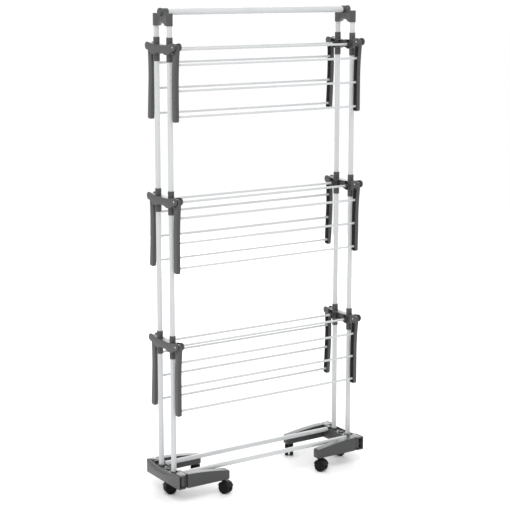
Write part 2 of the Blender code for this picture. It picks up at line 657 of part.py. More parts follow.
def place_caster(name, hood, wheels, spot, turn):
    """Set a hood on its swivel axis and its wheels on the axle behind it."""
    fork = place(f"caster_{name}_hood", hood, "black_plastic", spot, turn)
    place(f"caster_{name}_wheels", wheels, "black_plastic", (CASTER_TRAIL, 0, WHEEL_RADIUS), parent=fork)


def main():
    """Build the whole rack."""
    clear_scene()
    build_posts()
    build_long_bars()
    build_caps()
    build_tiers()
    build_wings()
    build_base()


main()
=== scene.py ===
"""Visual model of a folding three-tier clothes drying rack on casters, folded for storage.

Each sub-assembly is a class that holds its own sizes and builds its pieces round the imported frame. Lengths
are in metres, +Z is up, the rack's length runs along X and its front faces -Y.
"""

import json
import logging
import math
from collections.abc import Sequence
from dataclasses import dataclass
from enum import Enum

import bpy
from mathutils import Matrix, Vector


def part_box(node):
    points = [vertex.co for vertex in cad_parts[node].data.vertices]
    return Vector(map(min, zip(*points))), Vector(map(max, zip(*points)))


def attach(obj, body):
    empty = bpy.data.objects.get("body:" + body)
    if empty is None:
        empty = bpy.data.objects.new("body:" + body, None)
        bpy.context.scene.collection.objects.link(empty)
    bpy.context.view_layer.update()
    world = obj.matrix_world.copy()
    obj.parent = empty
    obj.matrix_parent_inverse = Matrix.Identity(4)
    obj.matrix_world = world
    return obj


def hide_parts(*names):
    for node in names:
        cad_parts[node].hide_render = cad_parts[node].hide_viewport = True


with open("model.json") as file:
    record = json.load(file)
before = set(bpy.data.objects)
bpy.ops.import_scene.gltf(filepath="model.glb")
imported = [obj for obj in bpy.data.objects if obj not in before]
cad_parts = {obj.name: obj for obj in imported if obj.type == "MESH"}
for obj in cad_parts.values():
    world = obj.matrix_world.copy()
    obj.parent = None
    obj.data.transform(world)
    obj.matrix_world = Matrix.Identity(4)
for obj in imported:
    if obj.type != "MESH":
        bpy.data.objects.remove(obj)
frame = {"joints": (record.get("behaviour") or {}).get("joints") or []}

LOG = logging.getLogger("drying_rack")

Point = tuple[float, float]
Colour = tuple[float, float, float]
Piece = bpy.types.Object

SMOOTH_ANGLE = math.radians(38)
TUBE_SIDES = 48
ROD_SIDES = 28
# How far a cutter runs past the face that it cuts.
OVERRUN = 0.01


class Axis(Enum):
    """The direction that an outline is pushed along, or that a profile turns about."""

    X = Matrix(((0, 0, 1, 0), (1, 0, 0, 0), (0, 1, 0, 0), (0, 0, 0, 1)))
    Y = Matrix(((1, 0, 0, 0), (0, 0, 1, 0), (0, 1, 0, 0), (0, 0, 0, 1)))
    Z = Matrix.Identity(4)


class Side(Enum):
    """The two ends of the rack, by the sign of X."""

    LEFT = -1
    RIGHT = 1


class Row(Enum):
    """The front and the rear of the rack, by the sign of Y."""

    FRONT = -1
    REAR = 1


# --- Shader maths ----------------------------------------------------------------------------------
class Signal:
    """A number that runs through a material's nodes, on which Python's operators add Math nodes."""

    def __init__(self, shading: "Shading", socket: bpy.types.NodeSocket) -> None:
        """Wrap an output socket of a material under construction."""
        self.shading = shading
        self.socket = socket

    def _math(self, operation: str, first: "Signal | float", second: "Signal | float") -> "Signal":
        """Add one Math node.

        Args:
            operation: the Math node's operation.
            first: its first operand.
            second: its second operand.

        Returns:
            The node's result.
        """
        node = self.shading.node("ShaderNodeMath", {"operation": operation}, {0: first, 1: second})
        return Signal(self.shading, node.outputs[0])

    def __add__(self, other: "Signal | float") -> "Signal":
        """Return this plus the other."""
        return self._math("ADD", self, other)

    def __radd__(self, other: float) -> "Signal":
        """Return the other plus this."""
        return self._math("ADD", other, self)

    def __sub__(self, other: "Signal | float") -> "Signal":
        """Return this minus the other."""
        return self._math("SUBTRACT", self, other)

    def __mul__(self, other: "Signal | float") -> "Signal":
        """Return this times the other."""
        return self._math("MULTIPLY", self, other)

    def __rmul__(self, other: float) -> "Signal":
        """Return the other times this."""
        return self._math("MULTIPLY", other, self)


class Shading:
    """One material's nodes, round a Principled shader."""

    def __init__(self, name: str) -> None:
        """Start a material.

        Args:
            name: the material's name.
        """
        self.material = bpy.data.materials.new(name)
        self.material.use_nodes = True
        self.tree = self.material.node_tree
        self.surface = self.tree.nodes["Principled BSDF"]
        self.place = self.node("ShaderNodeTexCoord").outputs["Object"]

    def feed(self, target: bpy.types.NodeSocket, source: object) -> None:
        """Link a signal or a socket to an input, or set the input's own value.

        Args:
            target: the input socket.
            source: a Signal, an output socket, a number or a tuple.
        """
        if isinstance(source, Signal):
            source = source.socket
        if isinstance(source, bpy.types.NodeSocket):
            self.tree.links.new(source, target)
        else:
            target.default_value = source

    def node(self, kind: str, settings: dict | None = None, sockets: dict | None = None) -> bpy.types.Node:
        """Add a node.

        Args:
            kind: the node's type.
            settings: its properties, and a ramp's stops, which are set first.
            sockets: values or links for its inputs, by name or number.

        Returns:
            The new node.
        """
        made = self.tree.nodes.new(kind)
        for key, value in (settings or {}).items():
            if key == "stops":
                for element, (position, shade) in zip(made.color_ramp.elements, value):
                    element.position = position
                    element.color = (shade, shade, shade, 1.0)
            else:
                setattr(made, key, value)
        for key, value in (sockets or {}).items():
            self.feed(made.inputs[key], value)
        return made

    def noise(self, scale: float, detail: float = 2.0, stretch: Colour = (1.0, 1.0, 1.0)) -> Signal:
        """Return fractal noise from 0 to 1 over the piece.

        Args:
            scale: how many blotches fit in a metre.
            detail: how many finer octaves are added.
            stretch: scale along each axis.
        """
        spot = self.node("ShaderNodeMapping", {}, {"Vector": self.place, "Scale": stretch}).outputs[0]
        sockets = {"Vector": spot, "Scale": scale, "Detail": detail}
        return Signal(self, self.node("ShaderNodeTexNoise", {}, sockets).outputs[0])

    def band(self, source: Signal, low: float, high: float) -> Signal:
        """Return 0 where the source is below low and 1 where it is above high, with a ramp between."""
        settings = {"stops": ((low, 0.0), (high, 1.0))}
        return Signal(self, self.node("ShaderNodeValToRGB", settings, {0: source}).outputs[0])

    def edges(self, low: float, high: float) -> Signal:
        """Return 1 on worn outer edges and 0 on flats and in corners."""
        pointed = Signal(self, self.node("ShaderNodeNewGeometry").outputs["Pointiness"])
        return self.band(pointed, low, high)

    def blend(self, share: Signal, first: Colour | object, second: Colour) -> bpy.types.NodeSocket:
        """Mix two colours.

        Args:
            share: how much of the second one shows.
            first: a colour, or the output of another mix.
            second: the other colour.

        Returns:
            The mixed colour's socket.
        """
        first = (*first, 1.0) if isinstance(first, tuple) else first
        sockets = {"Factor": share, 6: first, 7: (*second, 1.0)}
        return self.node("ShaderNodeMix", {"data_type": "RGBA"}, sockets).outputs[2]

    def bump(self, height: Signal, depth: float) -> bpy.types.NodeSocket:
        """Return a surface normal that follows a height.

        Args:
            height: the height from 0 to 1.
            depth: what a height of 1 stands for, in metres.
        """
        sockets = {"Height": height, "Distance": depth, "Strength": 1.0}
        return self.node("ShaderNodeBump", {}, sockets).outputs[0]

    def finish(self, **sockets: object) -> bpy.types.Material:
        """Set the Principled shader's inputs, named with _ for a space, and return the material."""
        for name, value in sockets.items():
            self.feed(self.surface.inputs[name.replace("_", " ")], value)
        return self.material


# --- Finishes --------------------------------------------------------------------------------------
@dataclass(frozen=True)
class PowderCoat:
    """White powder coat on steel tube, with its faint orange peel."""

    name: str = "white_powder_coat"
    slot: str = "white_tube"
    colour: Colour = (0.535, 0.547, 0.556)
    thin: Colour = (0.500, 0.512, 0.522)
    roughness: float = 0.30
    peel_scale: float = 650.0
    peel_depth: float = 0.00006

    def material(self) -> bpy.types.Material:
        """Build the finish and return its material."""
        shading = Shading(self.name)
        patches = shading.noise(14.0, 3.0)
        peel = shading.noise(self.peel_scale, 1.0)
        colour = shading.blend(shading.band(patches, 0.42, 0.85), self.colour, self.thin)
        return shading.finish(
            Base_Color=colour,
            Roughness=self.roughness + 0.10 * patches,
            Normal=shading.bump(peel, self.peel_depth),
            Coat_Weight=0.10 + 0.10 * patches,
            Coat_Roughness=0.18,
        )


@dataclass(frozen=True)
class MouldedPlastic:
    """Injection-moulded plastic with a spark-eroded grain, rubbed lighter along its edges."""

    name: str
    slot: str
    colour: Colour
    worn: Colour
    roughness: float = 0.46
    grain_scale: float = 2200.0
    grain_depth: float = 0.00005
    wear: float = 0.35
    gloss: float = 0.5

    def material(self) -> bpy.types.Material:
        """Build the finish and return its material."""
        shading = Shading(self.name)
        cloud = shading.noise(22.0, 4.0)
        flow = shading.noise(60.0, 2.0, (0.25, 1.0, 1.0))
        grain = shading.noise(self.grain_scale, 2.0)
        rubbed = shading.edges(0.50, 0.60) * (0.35 + 0.65 * cloud) * self.wear
        deep = tuple(0.86 * part for part in self.colour)
        base = shading.blend(shading.band(cloud, 0.35, 0.75), self.colour, deep)
        return shading.finish(
            Base_Color=shading.blend(rubbed, base, self.worn),
            Roughness=self.roughness + 0.10 * flow - 0.06 * rubbed,
            Normal=shading.bump(grain + 0.35 * flow, self.grain_depth),
            Specular_IOR_Level=self.gloss,
        )


@dataclass(frozen=True)
class PlatedSteel:
    """Bright zinc plate on a turned pin."""

    name: str = "zinc_plate"
    slot: str = "white_tube"
    colour: Colour = (0.86, 0.87, 0.88)
    tarnish: Colour = (0.70, 0.71, 0.72)

    def material(self) -> bpy.types.Material:
        """Build the finish and return its material."""
        shading = Shading(self.name)
        spots = shading.noise(420.0, 3.0)
        lathe = shading.noise(900.0, 1.0, (0.05, 1.0, 1.0))
        return shading.finish(
            Base_Color=shading.blend(shading.band(spots, 0.45, 0.70), self.colour, self.tarnish),
            Metallic=0.85 + 0.10 * spots,
            Roughness=0.28 + 0.15 * lathe,
            Normal=shading.bump(lathe, 0.00004),
        )


class Finish(Enum):
    """The rack's finishes."""

    WHITE = PowderCoat()
    SHELL = MouldedPlastic(
        "grey_shell_plastic", "grey_plastic", (0.046, 0.047, 0.046), (0.12, 0.122, 0.119), 0.36
    )
    LEG = MouldedPlastic(
        "dark_leg_plastic", "dark_plastic", (0.033, 0.034, 0.034), (0.09, 0.092, 0.09), 0.32
    )
    BEAM = MouldedPlastic(
        "grey_beam_plastic", "grey_plastic", (0.054, 0.055, 0.053), (0.13, 0.132, 0.128), 0.34
    )
    HOOD = MouldedPlastic(
        "black_hood_plastic", "black_plastic", (0.004, 0.004, 0.004), (0.012, 0.012, 0.012), 0.42, gloss=0.22
    )
    TREAD = MouldedPlastic(
        "black_wheel_plastic", "black_plastic", (0.004, 0.004, 0.004), (0.014, 0.014, 0.014), 0.55, gloss=0.16
    )
    ZINC = PlatedSteel()

    def material(self) -> bpy.types.Material:
        """Return the finish's material, built the first time that it is asked for."""
        return bpy.data.materials.get(self.value.name) or self.value.material()


# --- Outlines --------------------------------------------------------------------------------------
def arc(centre: Point, radius: float, start: float, end: float, steps: int) -> list[Point]:
    """Return points along a circle's arc, from angle start to angle end, in degrees."""
    turns = [math.radians(start + (end - start) * i / steps) for i in range(steps + 1)]
    return [(centre[0] + radius * math.cos(a), centre[1] + radius * math.sin(a)) for a in turns]


def ease(share: float) -> float:
    """Return a smooth step: 0 below 0, 1 above 1."""
    share = min(1.0, max(0.0, share))
    return share * share * (3 - 2 * share)


def spaced(start: float, end: float, steps: int) -> list[float]:
    """Return evenly spaced numbers, both ends included."""
    return [start + (end - start) * i / steps for i in range(steps + 1)]


def span(sign: int, near: float, far: float) -> list[float]:
    """Return two distances from the middle in rising order, on the side that the sign gives."""
    return sorted((sign * near, sign * far))


def far_half(profile: Sequence[Point]) -> list[Point]:
    """Return half a turned profile's mirror image, in the order that closes it."""
    return [(radius, -along) for radius, along in reversed(profile)]


# --- Operator steps --------------------------------------------------------------------------------
class Bench:
    """The operator steps that every piece is modelled with."""

    @staticmethod
    def pick(*pieces: Piece) -> Piece:
        """Select only these pieces, make the first one active and return it."""
        bpy.ops.object.select_all(action="DESELECT")
        for piece in pieces:
            piece.select_set(True)
        bpy.context.view_layer.objects.active = pieces[0]
        return pieces[0]

    @staticmethod
    def fresh() -> Piece:
        """Bake the place of the primitive that was just added into its mesh and return it."""
        piece = bpy.context.view_layer.objects.active
        Bench.pick(piece)
        bpy.ops.object.transform_apply(location=True, rotation=True, scale=True)
        return piece

    @staticmethod
    def block(low: Sequence[float], high: Sequence[float]) -> Piece:
        """Return a block between two corners."""
        bpy.ops.object.select_all(action="DESELECT")
        middle = [(a + b) / 2 for a, b in zip(low, high)]
        size = [b - a for a, b in zip(low, high)]
        bpy.ops.mesh.primitive_cube_add(size=1.0, location=middle, scale=size)
        return Bench.fresh()

    @staticmethod
    def outline(points: Sequence[Point], filled: bool) -> Piece:
        """Return a flat loop whose corners are moved to the points, in the XY plane.

        Args:
            points: the corners, in order.
            filled: whether one face fills the loop.
        """
        bpy.ops.object.select_all(action="DESELECT")
        count, fill = len(points), "NGON" if filled else "NOTHING"
        bpy.ops.mesh.primitive_circle_add(vertices=count, radius=1.0, fill_type=fill, location=(0, 0, 0))
        piece = bpy.context.view_layer.objects.active
        for vertex, (u, v) in zip(piece.data.vertices, points):
            vertex.co = (u, v, 0.0)
        return piece

    @staticmethod
    def plate(axis: Axis, points: Sequence[Point], low: float, high: float) -> Piece:
        """Extrude a closed outline.

        Args:
            axis: the direction of the extrusion.
            points: the outline as (Y, Z), (X, Z) or (X, Y).
            low: where the extrusion starts.
            high: where it ends.

        Returns:
            The closed plate.
        """
        piece = Bench.outline(points, True)
        piece.data.transform(Matrix.Translation((0, 0, low)))
        bpy.ops.object.mode_set(mode="EDIT")
        bpy.ops.mesh.select_all(action="SELECT")
        bpy.ops.mesh.extrude_region_move(TRANSFORM_OT_translate={"value": (0, 0, high - low)})
        bpy.ops.object.mode_set(mode="OBJECT")
        piece.data.transform(axis.value)
        return Bench.outward(piece)

    @staticmethod
    def bar(
        axis: Axis, centre: Point, radius: float, low: float, high: float, sides: int = TUBE_SIDES
    ) -> Piece:
        """Return a plain round bar along an axis."""
        bpy.ops.object.select_all(action="DESELECT")
        middle, depth = (*centre, (low + high) / 2), abs(high - low)
        bpy.ops.mesh.primitive_cylinder_add(vertices=sides, radius=radius, depth=depth, location=middle)
        piece = Bench.fresh()
        piece.data.transform(axis.value)
        return Bench.outward(piece)

    @staticmethod
    def lathe(
        axis: Axis, centre: Point, profile: Sequence[Point], sides: int = TUBE_SIDES, ring: bool = False
    ) -> Piece:
        """Spin a profile about an axis.

        Args:
            axis: the axis that it turns about.
            centre: where that axis runs, as (Y, Z), (X, Z) or (X, Y).
            profile: (radius, distance along the axis) points.
            sides: the number of steps in a turn.
            ring: True for a closed cross-section, False for a profile that starts and ends on the axis.

        Returns:
            The closed turned piece.
        """
        piece = Bench.outline(profile, False)
        for vertex in piece.data.vertices:
            vertex.co = (vertex.co.x, 0.0, vertex.co.y)
        last = len(profile) - 1
        for edge in piece.data.edges:
            edge.select = not ring and set(edge.vertices) == {0, last}
        for vertex in piece.data.vertices:
            vertex.select = False
        bpy.ops.object.mode_set(mode="EDIT")
        bpy.ops.mesh.select_mode(type="EDGE")
        if not ring:
            bpy.ops.mesh.delete(type="EDGE")
        bpy.ops.mesh.select_mode(type="VERT")
        bpy.ops.mesh.select_all(action="SELECT")
        bpy.ops.mesh.spin(steps=sides, angle=2 * math.pi, center=(0, 0, 0), axis=(0, 0, 1))
        bpy.ops.mesh.select_all(action="SELECT")
        bpy.ops.mesh.remove_doubles(threshold=1e-6)
        bpy.ops.mesh.dissolve_degenerate(threshold=1e-7)
        bpy.ops.object.mode_set(mode="OBJECT")
        piece.data.transform(axis.value @ Matrix.Translation((*centre, 0)))
        return Bench.outward(piece)

    @staticmethod
    def outward(piece: Piece) -> Piece:
        """Turn a closed piece's faces outwards."""
        Bench.pick(piece)
        bpy.ops.object.mode_set(mode="EDIT")
        bpy.ops.mesh.select_all(action="SELECT")
        bpy.ops.mesh.normals_make_consistent(inside=False)
        bpy.ops.object.mode_set(mode="OBJECT")
        return piece

    @staticmethod
    def apply(piece: Piece, kind: str, **settings: object) -> Piece:
        """Add a modifier with these settings and apply it."""
        Bench.pick(piece)
        step = piece.modifiers.new(kind.lower(), kind)
        for key, value in settings.items():
            setattr(step, key, value)
        bpy.ops.object.modifier_apply(modifier=step.name)
        return piece

    @staticmethod
    def soften(piece: Piece, width: float, segments: int = 3, angle: float = 50.0) -> Piece:
        """Round the edges that are sharper than an angle in degrees."""
        limit = math.radians(angle)
        return Bench.apply(
            piece, "BEVEL", width=width, segments=segments, limit_method="ANGLE", angle_limit=limit
        )

    @staticmethod
    def combine(operation: str, body: Piece, tools: Sequence[Piece]) -> Piece:
        """Apply a Boolean with each tool in turn and remove the tools."""
        for tool in tools:
            Bench.apply(body, "BOOLEAN", operation=operation, object=tool, solver="EXACT")
            bpy.data.objects.remove(tool, do_unlink=True)
        return body

    @staticmethod
    def unite(body: Piece, *tools: Piece) -> Piece:
        """Join shapes to a body."""
        return Bench.combine("UNION", body, tools)

    @staticmethod
    def carve(body: Piece, *tools: Piece) -> Piece:
        """Cut shapes from a body."""
        return Bench.combine("DIFFERENCE", body, tools)

    @staticmethod
    def stamp(pattern: Piece, place: Matrix) -> Piece:
        """Copy a pattern piece with its own mesh, put in place.

        Args:
            pattern: the piece to copy.
            place: its new place, which may mirror it.

        Returns:
            The copy, with its place in its mesh.
        """
        copy = pattern.copy()
        copy.data = pattern.data.copy()
        bpy.context.scene.collection.objects.link(copy)
        copy.data.transform(place)
        if place.determinant() < 0:
            copy.data.flip_normals()
        return copy

    @staticmethod
    def issue(piece: Piece, name: str, finish: Finish, body: str, *nodes: str) -> Piece:
        """Name, shade and dress a finished piece and hand it to its body.

        Args:
            piece: the finished mesh.
            name: the piece's name.
            finish: what it is covered with.
            body: the body that it rides on.
            nodes: the frame's nodes that it stands for.

        Returns:
            The piece.
        """
        Bench.pick(piece)
        bpy.ops.object.shade_smooth_by_angle(angle=SMOOTH_ANGLE)
        piece.name = name
        piece.data.name = name
        piece.data.materials.clear()
        piece.data.materials.append(finish.material())
        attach(piece, body)
        if nodes:
            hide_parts(*nodes)
        LOG.info("%s: %d faces", name, len(piece.data.polygons))
        return piece


def moved(x: float = 0.0, y: float = 0.0, z: float = 0.0) -> Matrix:
    """Return a shift."""
    return Matrix.Translation((x, y, z))


def flipped(x: int = 1, y: int = 1) -> Matrix:
    """Return a mirror in X, in Y or in both, where the sign is -1."""
    return Matrix.Diagonal((x, y, 1, 1))


def discard(*patterns: Piece) -> None:
    """Remove pattern pieces once their copies are made."""
    for pattern in patterns:
        bpy.data.objects.remove(pattern, do_unlink=True)


# --- The frame's places ----------------------------------------------------------------------------
@dataclass
class Layout:
    """Places and sizes that every sub-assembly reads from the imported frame."""

    end_x: float
    post_y: float
    post_radius: float
    rod_radius: float
    tiers: tuple[float, ...]
    base_top: float
    underside: float
    floor_to_axle: float

    @classmethod
    def read(cls) -> "Layout":
        """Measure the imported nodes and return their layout."""
        post_low, post_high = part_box("post_rear_right")
        rod_low, rod_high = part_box("wing_1_front_rod_outer")
        beam_low, beam_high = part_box("base_beam_right")
        wheel_low, wheel_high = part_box("caster_front_right_wheels")
        tiers = []
        for number in (1, 2, 3):
            low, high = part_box(f"tier_{number}_frame")
            tiers.append((low.z + high.z) / 2)
        middle = (post_low + post_high) / 2
        return cls(
            end_x=middle.x,
            post_y=middle.y,
            post_radius=(post_high.x - post_low.x) / 2,
            rod_radius=(rod_high.z - rod_low.z) / 2,
            tiers=tuple(tiers),
            base_top=beam_high.z,
            underside=beam_low.z,
            floor_to_axle=(wheel_low.z + wheel_high.z) / 2,
        )


def joint_place(name: str) -> Vector:
    """Return a joint's position by its name."""
    return Vector(next(joint["pos_m"] for joint in frame["joints"] if joint["name"] == name))


# --- Tubes -----------------------------------------------------------------------------------------
@dataclass
class Tubes:
    """The posts, the long bars and the wings' rods, all of powder-coated steel tube."""

    layout: Layout
    wall: float = 0.0010
    rod_wall: float = 0.0007
    edge: float = 0.0004

    def tube(self, node: str, axis: Axis, wall: float, sides: int) -> Piece:
        """Build a tube that fills a node's box.

        Args:
            node: the frame's node.
            axis: the tube's direction.
            wall: its wall thickness.
            sides: how many sides it is drawn with.

        Returns:
            The tube.
        """
        low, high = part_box(node)
        middle = (low + high) / 2
        along = {Axis.X: 0, Axis.Z: 2}[axis]
        across = (middle.y, middle.z) if axis is Axis.X else (middle.x, middle.y)
        radius = (high.z - low.z) / 2 if axis is Axis.X else (high.x - low.x) / 2
        start, end, edge = low[along], high[along], self.edge
        profile = [
            (radius, start + edge),
            (radius, end - edge),
            (radius - edge, end),
            (radius - wall, end),
            (radius - wall, start),
            (radius - edge, start),
        ]
        return Bench.lathe(axis, across, profile, sides, ring=True)

    def fit(self, node: str, axis: Axis, body: str = "frame") -> None:
        """Build a node's tube, thin-walled where it is a wing's rod, and hand it to its body."""
        wall, sides = (self.wall, TUBE_SIDES) if body == "frame" else (self.rod_wall, ROD_SIDES)
        Bench.issue(self.tube(node, axis, wall, sides), f"{node}_tube", Finish.WHITE, body, node)

    def build(self) -> None:
        """Build every separate tube."""
        for row in ("front", "rear"):
            for side in ("left", "right"):
                self.fit(f"post_{row}_{side}", Axis.Z)
            self.fit(f"base_bar_{row}", Axis.X)
            for number in (1, 2, 3):
                body = f"wing_{number}_{row}"
                for name in ("inner", "middle", "outer"):
                    self.fit(f"{body}_rod_{name}", Axis.X, body)
        self.fit("top_bar", Axis.X)


# --- Tier brackets ---------------------------------------------------------------------------------
@dataclass
class TierBracket:
    """The end brackets of each tier, their wing pins and the two fixed rods between them.

    bow_power sets how late the upper edge rises to the lugs, and rib_shares is where the cavity's ribs
    stand, as shares of the post's distance from the middle.
    """

    layout: Layout
    width: float = 0.029
    recess: float = 0.0100
    rim: float = 0.0024
    edge: float = 0.0010
    lug_radius: float = 0.013
    lug: float = 0.0055
    pivot_y: float = 0.085
    pivot_rise: float = 0.010
    slot_start: float = 0.0675
    cavity_end: float = 0.0655
    top_middle: float = 0.0155
    bow_power: float = 2.2
    belly: float = 0.0165
    arch: float = 0.0105
    belly_end: float = 0.050
    belly_start: float = 0.037
    arch_end: float = 0.012
    sleeve_wall: float = 0.0014
    sleeve_half: float = 0.040
    collar_radius: float = 0.007
    collar_reach: float = 0.026
    collar_root: float = 0.006
    rod_seat: float = 0.004
    rod_hold: float = 0.0035
    rib: float = 0.0016
    rib_shares: tuple[float, ...] = (0.55, 1.42)
    pin_radius: float = 0.003
    gap: float = 0.0003

    def top(self, y: float) -> float:
        """Return the height of the bow's upper edge at a distance from the middle."""
        rise = self.pivot_rise + self.lug_radius - self.top_middle
        return self.top_middle + rise * (abs(y) / self.pivot_y) ** self.bow_power

    def bottom(self, y: float) -> float:
        """Return the height of the bow's lower edge at a distance from the middle."""
        y = abs(y)
        swell = ease((y - self.arch_end) / (self.belly_start - self.arch_end))
        arch = -self.arch - (self.belly - self.arch) * swell
        lift = self.pivot_rise - self.lug_radius + self.belly
        return arch + lift * ease((y - self.belly_end) / (self.pivot_y - self.belly_end))

    def bow(self) -> list[Point]:
        """Return the bracket's outline seen from the end of the rack."""
        reach = self.pivot_y - self.edge
        lug = arc((self.pivot_y, self.pivot_rise), self.lug_radius, 88, -88, 18)
        far = arc((-self.pivot_y, self.pivot_rise), self.lug_radius, -92, -268, 18)
        upper = [(y, self.top(y)) for y in spaced(-reach, reach, 40)][1:-1]
        lower = [(y, self.bottom(y)) for y in spaced(reach, -reach, 48)][1:-1]
        return upper + lug + lower + far

    def cavity(self, start: float, end: float) -> list[Point]:
        """Return the outline of a pocket between two distances along the bow."""
        upper = [(y, self.top(y) - self.rim) for y in spaced(start, end, 12)]
        lower = [(y, self.bottom(y) + self.rim) for y in spaced(end, start, 16)]
        return upper + lower

    def sleeve(self, y: float) -> Piece:
        """Return the sleeve that grips a post, with rounded mouths."""
        inner = self.layout.post_radius + self.gap
        outer = inner + self.sleeve_wall
        half = self.sleeve_half
        round_off = 0.0006
        profile = [
            (outer, -half + round_off),
            (outer + 0.0002, 0.0),
            (outer, half - round_off),
            (outer - round_off / 3, half - round_off / 3),
            (outer - round_off, half),
            (inner - 0.0004, half),
            (inner - 0.0004, -half),
            (outer - round_off, -half),
            (outer - round_off / 3, -half + round_off / 3),
        ]
        return Bench.lathe(Axis.Z, (0, y), profile, TUBE_SIDES, ring=True)

    def collar(self, y: float) -> Piece:
        """Return the collar on the inner face that holds a fixed rod's end."""
        radius, seat = self.collar_radius, self.layout.rod_radius + self.gap
        root, mouth = -self.collar_root, -self.collar_reach
        profile = [
            (0.0, root),
            (radius + 0.0006, root),
            (radius, mouth + 0.0008),
            (radius - 0.0008, mouth),
            (seat, mouth),
            (seat, mouth + self.rod_seat),
            (0.0, mouth + self.rod_seat),
        ]
        return Bench.lathe(Axis.X, (y, 0), profile, ROD_SIDES)

    def pattern(self) -> Piece:
        """Model the right-hand bracket, with X = 0 in the plane of the posts and Z = 0 at the tier."""
        half, tall = self.width / 2, 2 * self.width
        body = Bench.soften(Bench.plate(Axis.X, self.bow(), -half, half), self.edge)
        floor = self.recess - half
        near = self.cavity_end
        Bench.carve(body, Bench.plate(Axis.X, self.cavity(-near, near), -self.width, floor))
        slot_half = half - self.lug
        bore = self.layout.post_radius + self.gap
        for sign in (-1, 1):
            y = sign * self.layout.post_y
            Bench.unite(body, self.sleeve(y))
            Bench.unite(body, self.collar(y))
            for share in self.rib_shares:
                rib_y = y * share
                low = (-half + self.rim, rib_y - self.rib / 2, self.bottom(rib_y) + self.rim / 2)
                high = (floor + self.rim / 2, rib_y + self.rib / 2, self.top(rib_y) - self.rim / 2)
                Bench.unite(body, Bench.block(low, high))
            start, end = span(sign, self.slot_start, self.pivot_y + 2 * self.lug_radius)
            slot = Bench.block((-slot_half, start, -self.width), (slot_half, end, tall))
            Bench.carve(body, slot, Bench.bar(Axis.Z, (0, y), bore, -tall, tall))
        return body

    def pin(self) -> Piece:
        """Model a wing's hinge pin, with rounded ends that show on both lugs."""
        half = self.width / 2 + 0.0002
        profile = [(0.0, -half), (self.pin_radius - 0.0006, -half), (self.pin_radius, -half + 0.0006)]
        return Bench.lathe(Axis.X, (0, 0), profile + far_half(profile), ROD_SIDES)

    def fixed_rod(self, y: float, z: float) -> Piece:
        """Return a fixed rod between the two brackets' collars."""
        reach = self.layout.end_x - self.collar_reach + self.rod_hold
        radius = self.layout.rod_radius
        profile = [(0.0, -reach), (radius - 0.0004, -reach), (radius, -reach + 0.0004)]
        return Bench.lathe(Axis.X, (y, z), profile + far_half(profile), ROD_SIDES)

    def build(self) -> None:
        """Build the three tiers' brackets, pins and fixed rods."""
        bracket, pin = self.pattern(), self.pin()
        for number, height in enumerate(self.layout.tiers, start=1):
            node = f"tier_{number}_frame"
            for side in Side:
                place = moved(side.value * self.layout.end_x, 0, height) @ flipped(side.value)
                name = f"tier_{number}_bracket_{side.name.lower()}"
                Bench.issue(Bench.stamp(bracket, place), name, Finish.SHELL, "frame", node)
                for row in Row:
                    x, y = side.value * self.layout.end_x, row.value * self.pivot_y
                    spot = moved(x, y, height + self.pivot_rise)
                    name = f"tier_{number}_pin_{row.name.lower()}_{side.name.lower()}"
                    finish = Finish.ZINC if row is Row.FRONT else Finish.SHELL
                    Bench.issue(Bench.stamp(pin, spot), name, finish, "frame", node)
            for row in Row:
                rod = self.fixed_rod(row.value * self.layout.post_y, height)
                Bench.issue(rod, f"tier_{number}_fixed_rod_{row.name.lower()}", Finish.WHITE, "frame", node)
        discard(bracket, pin)


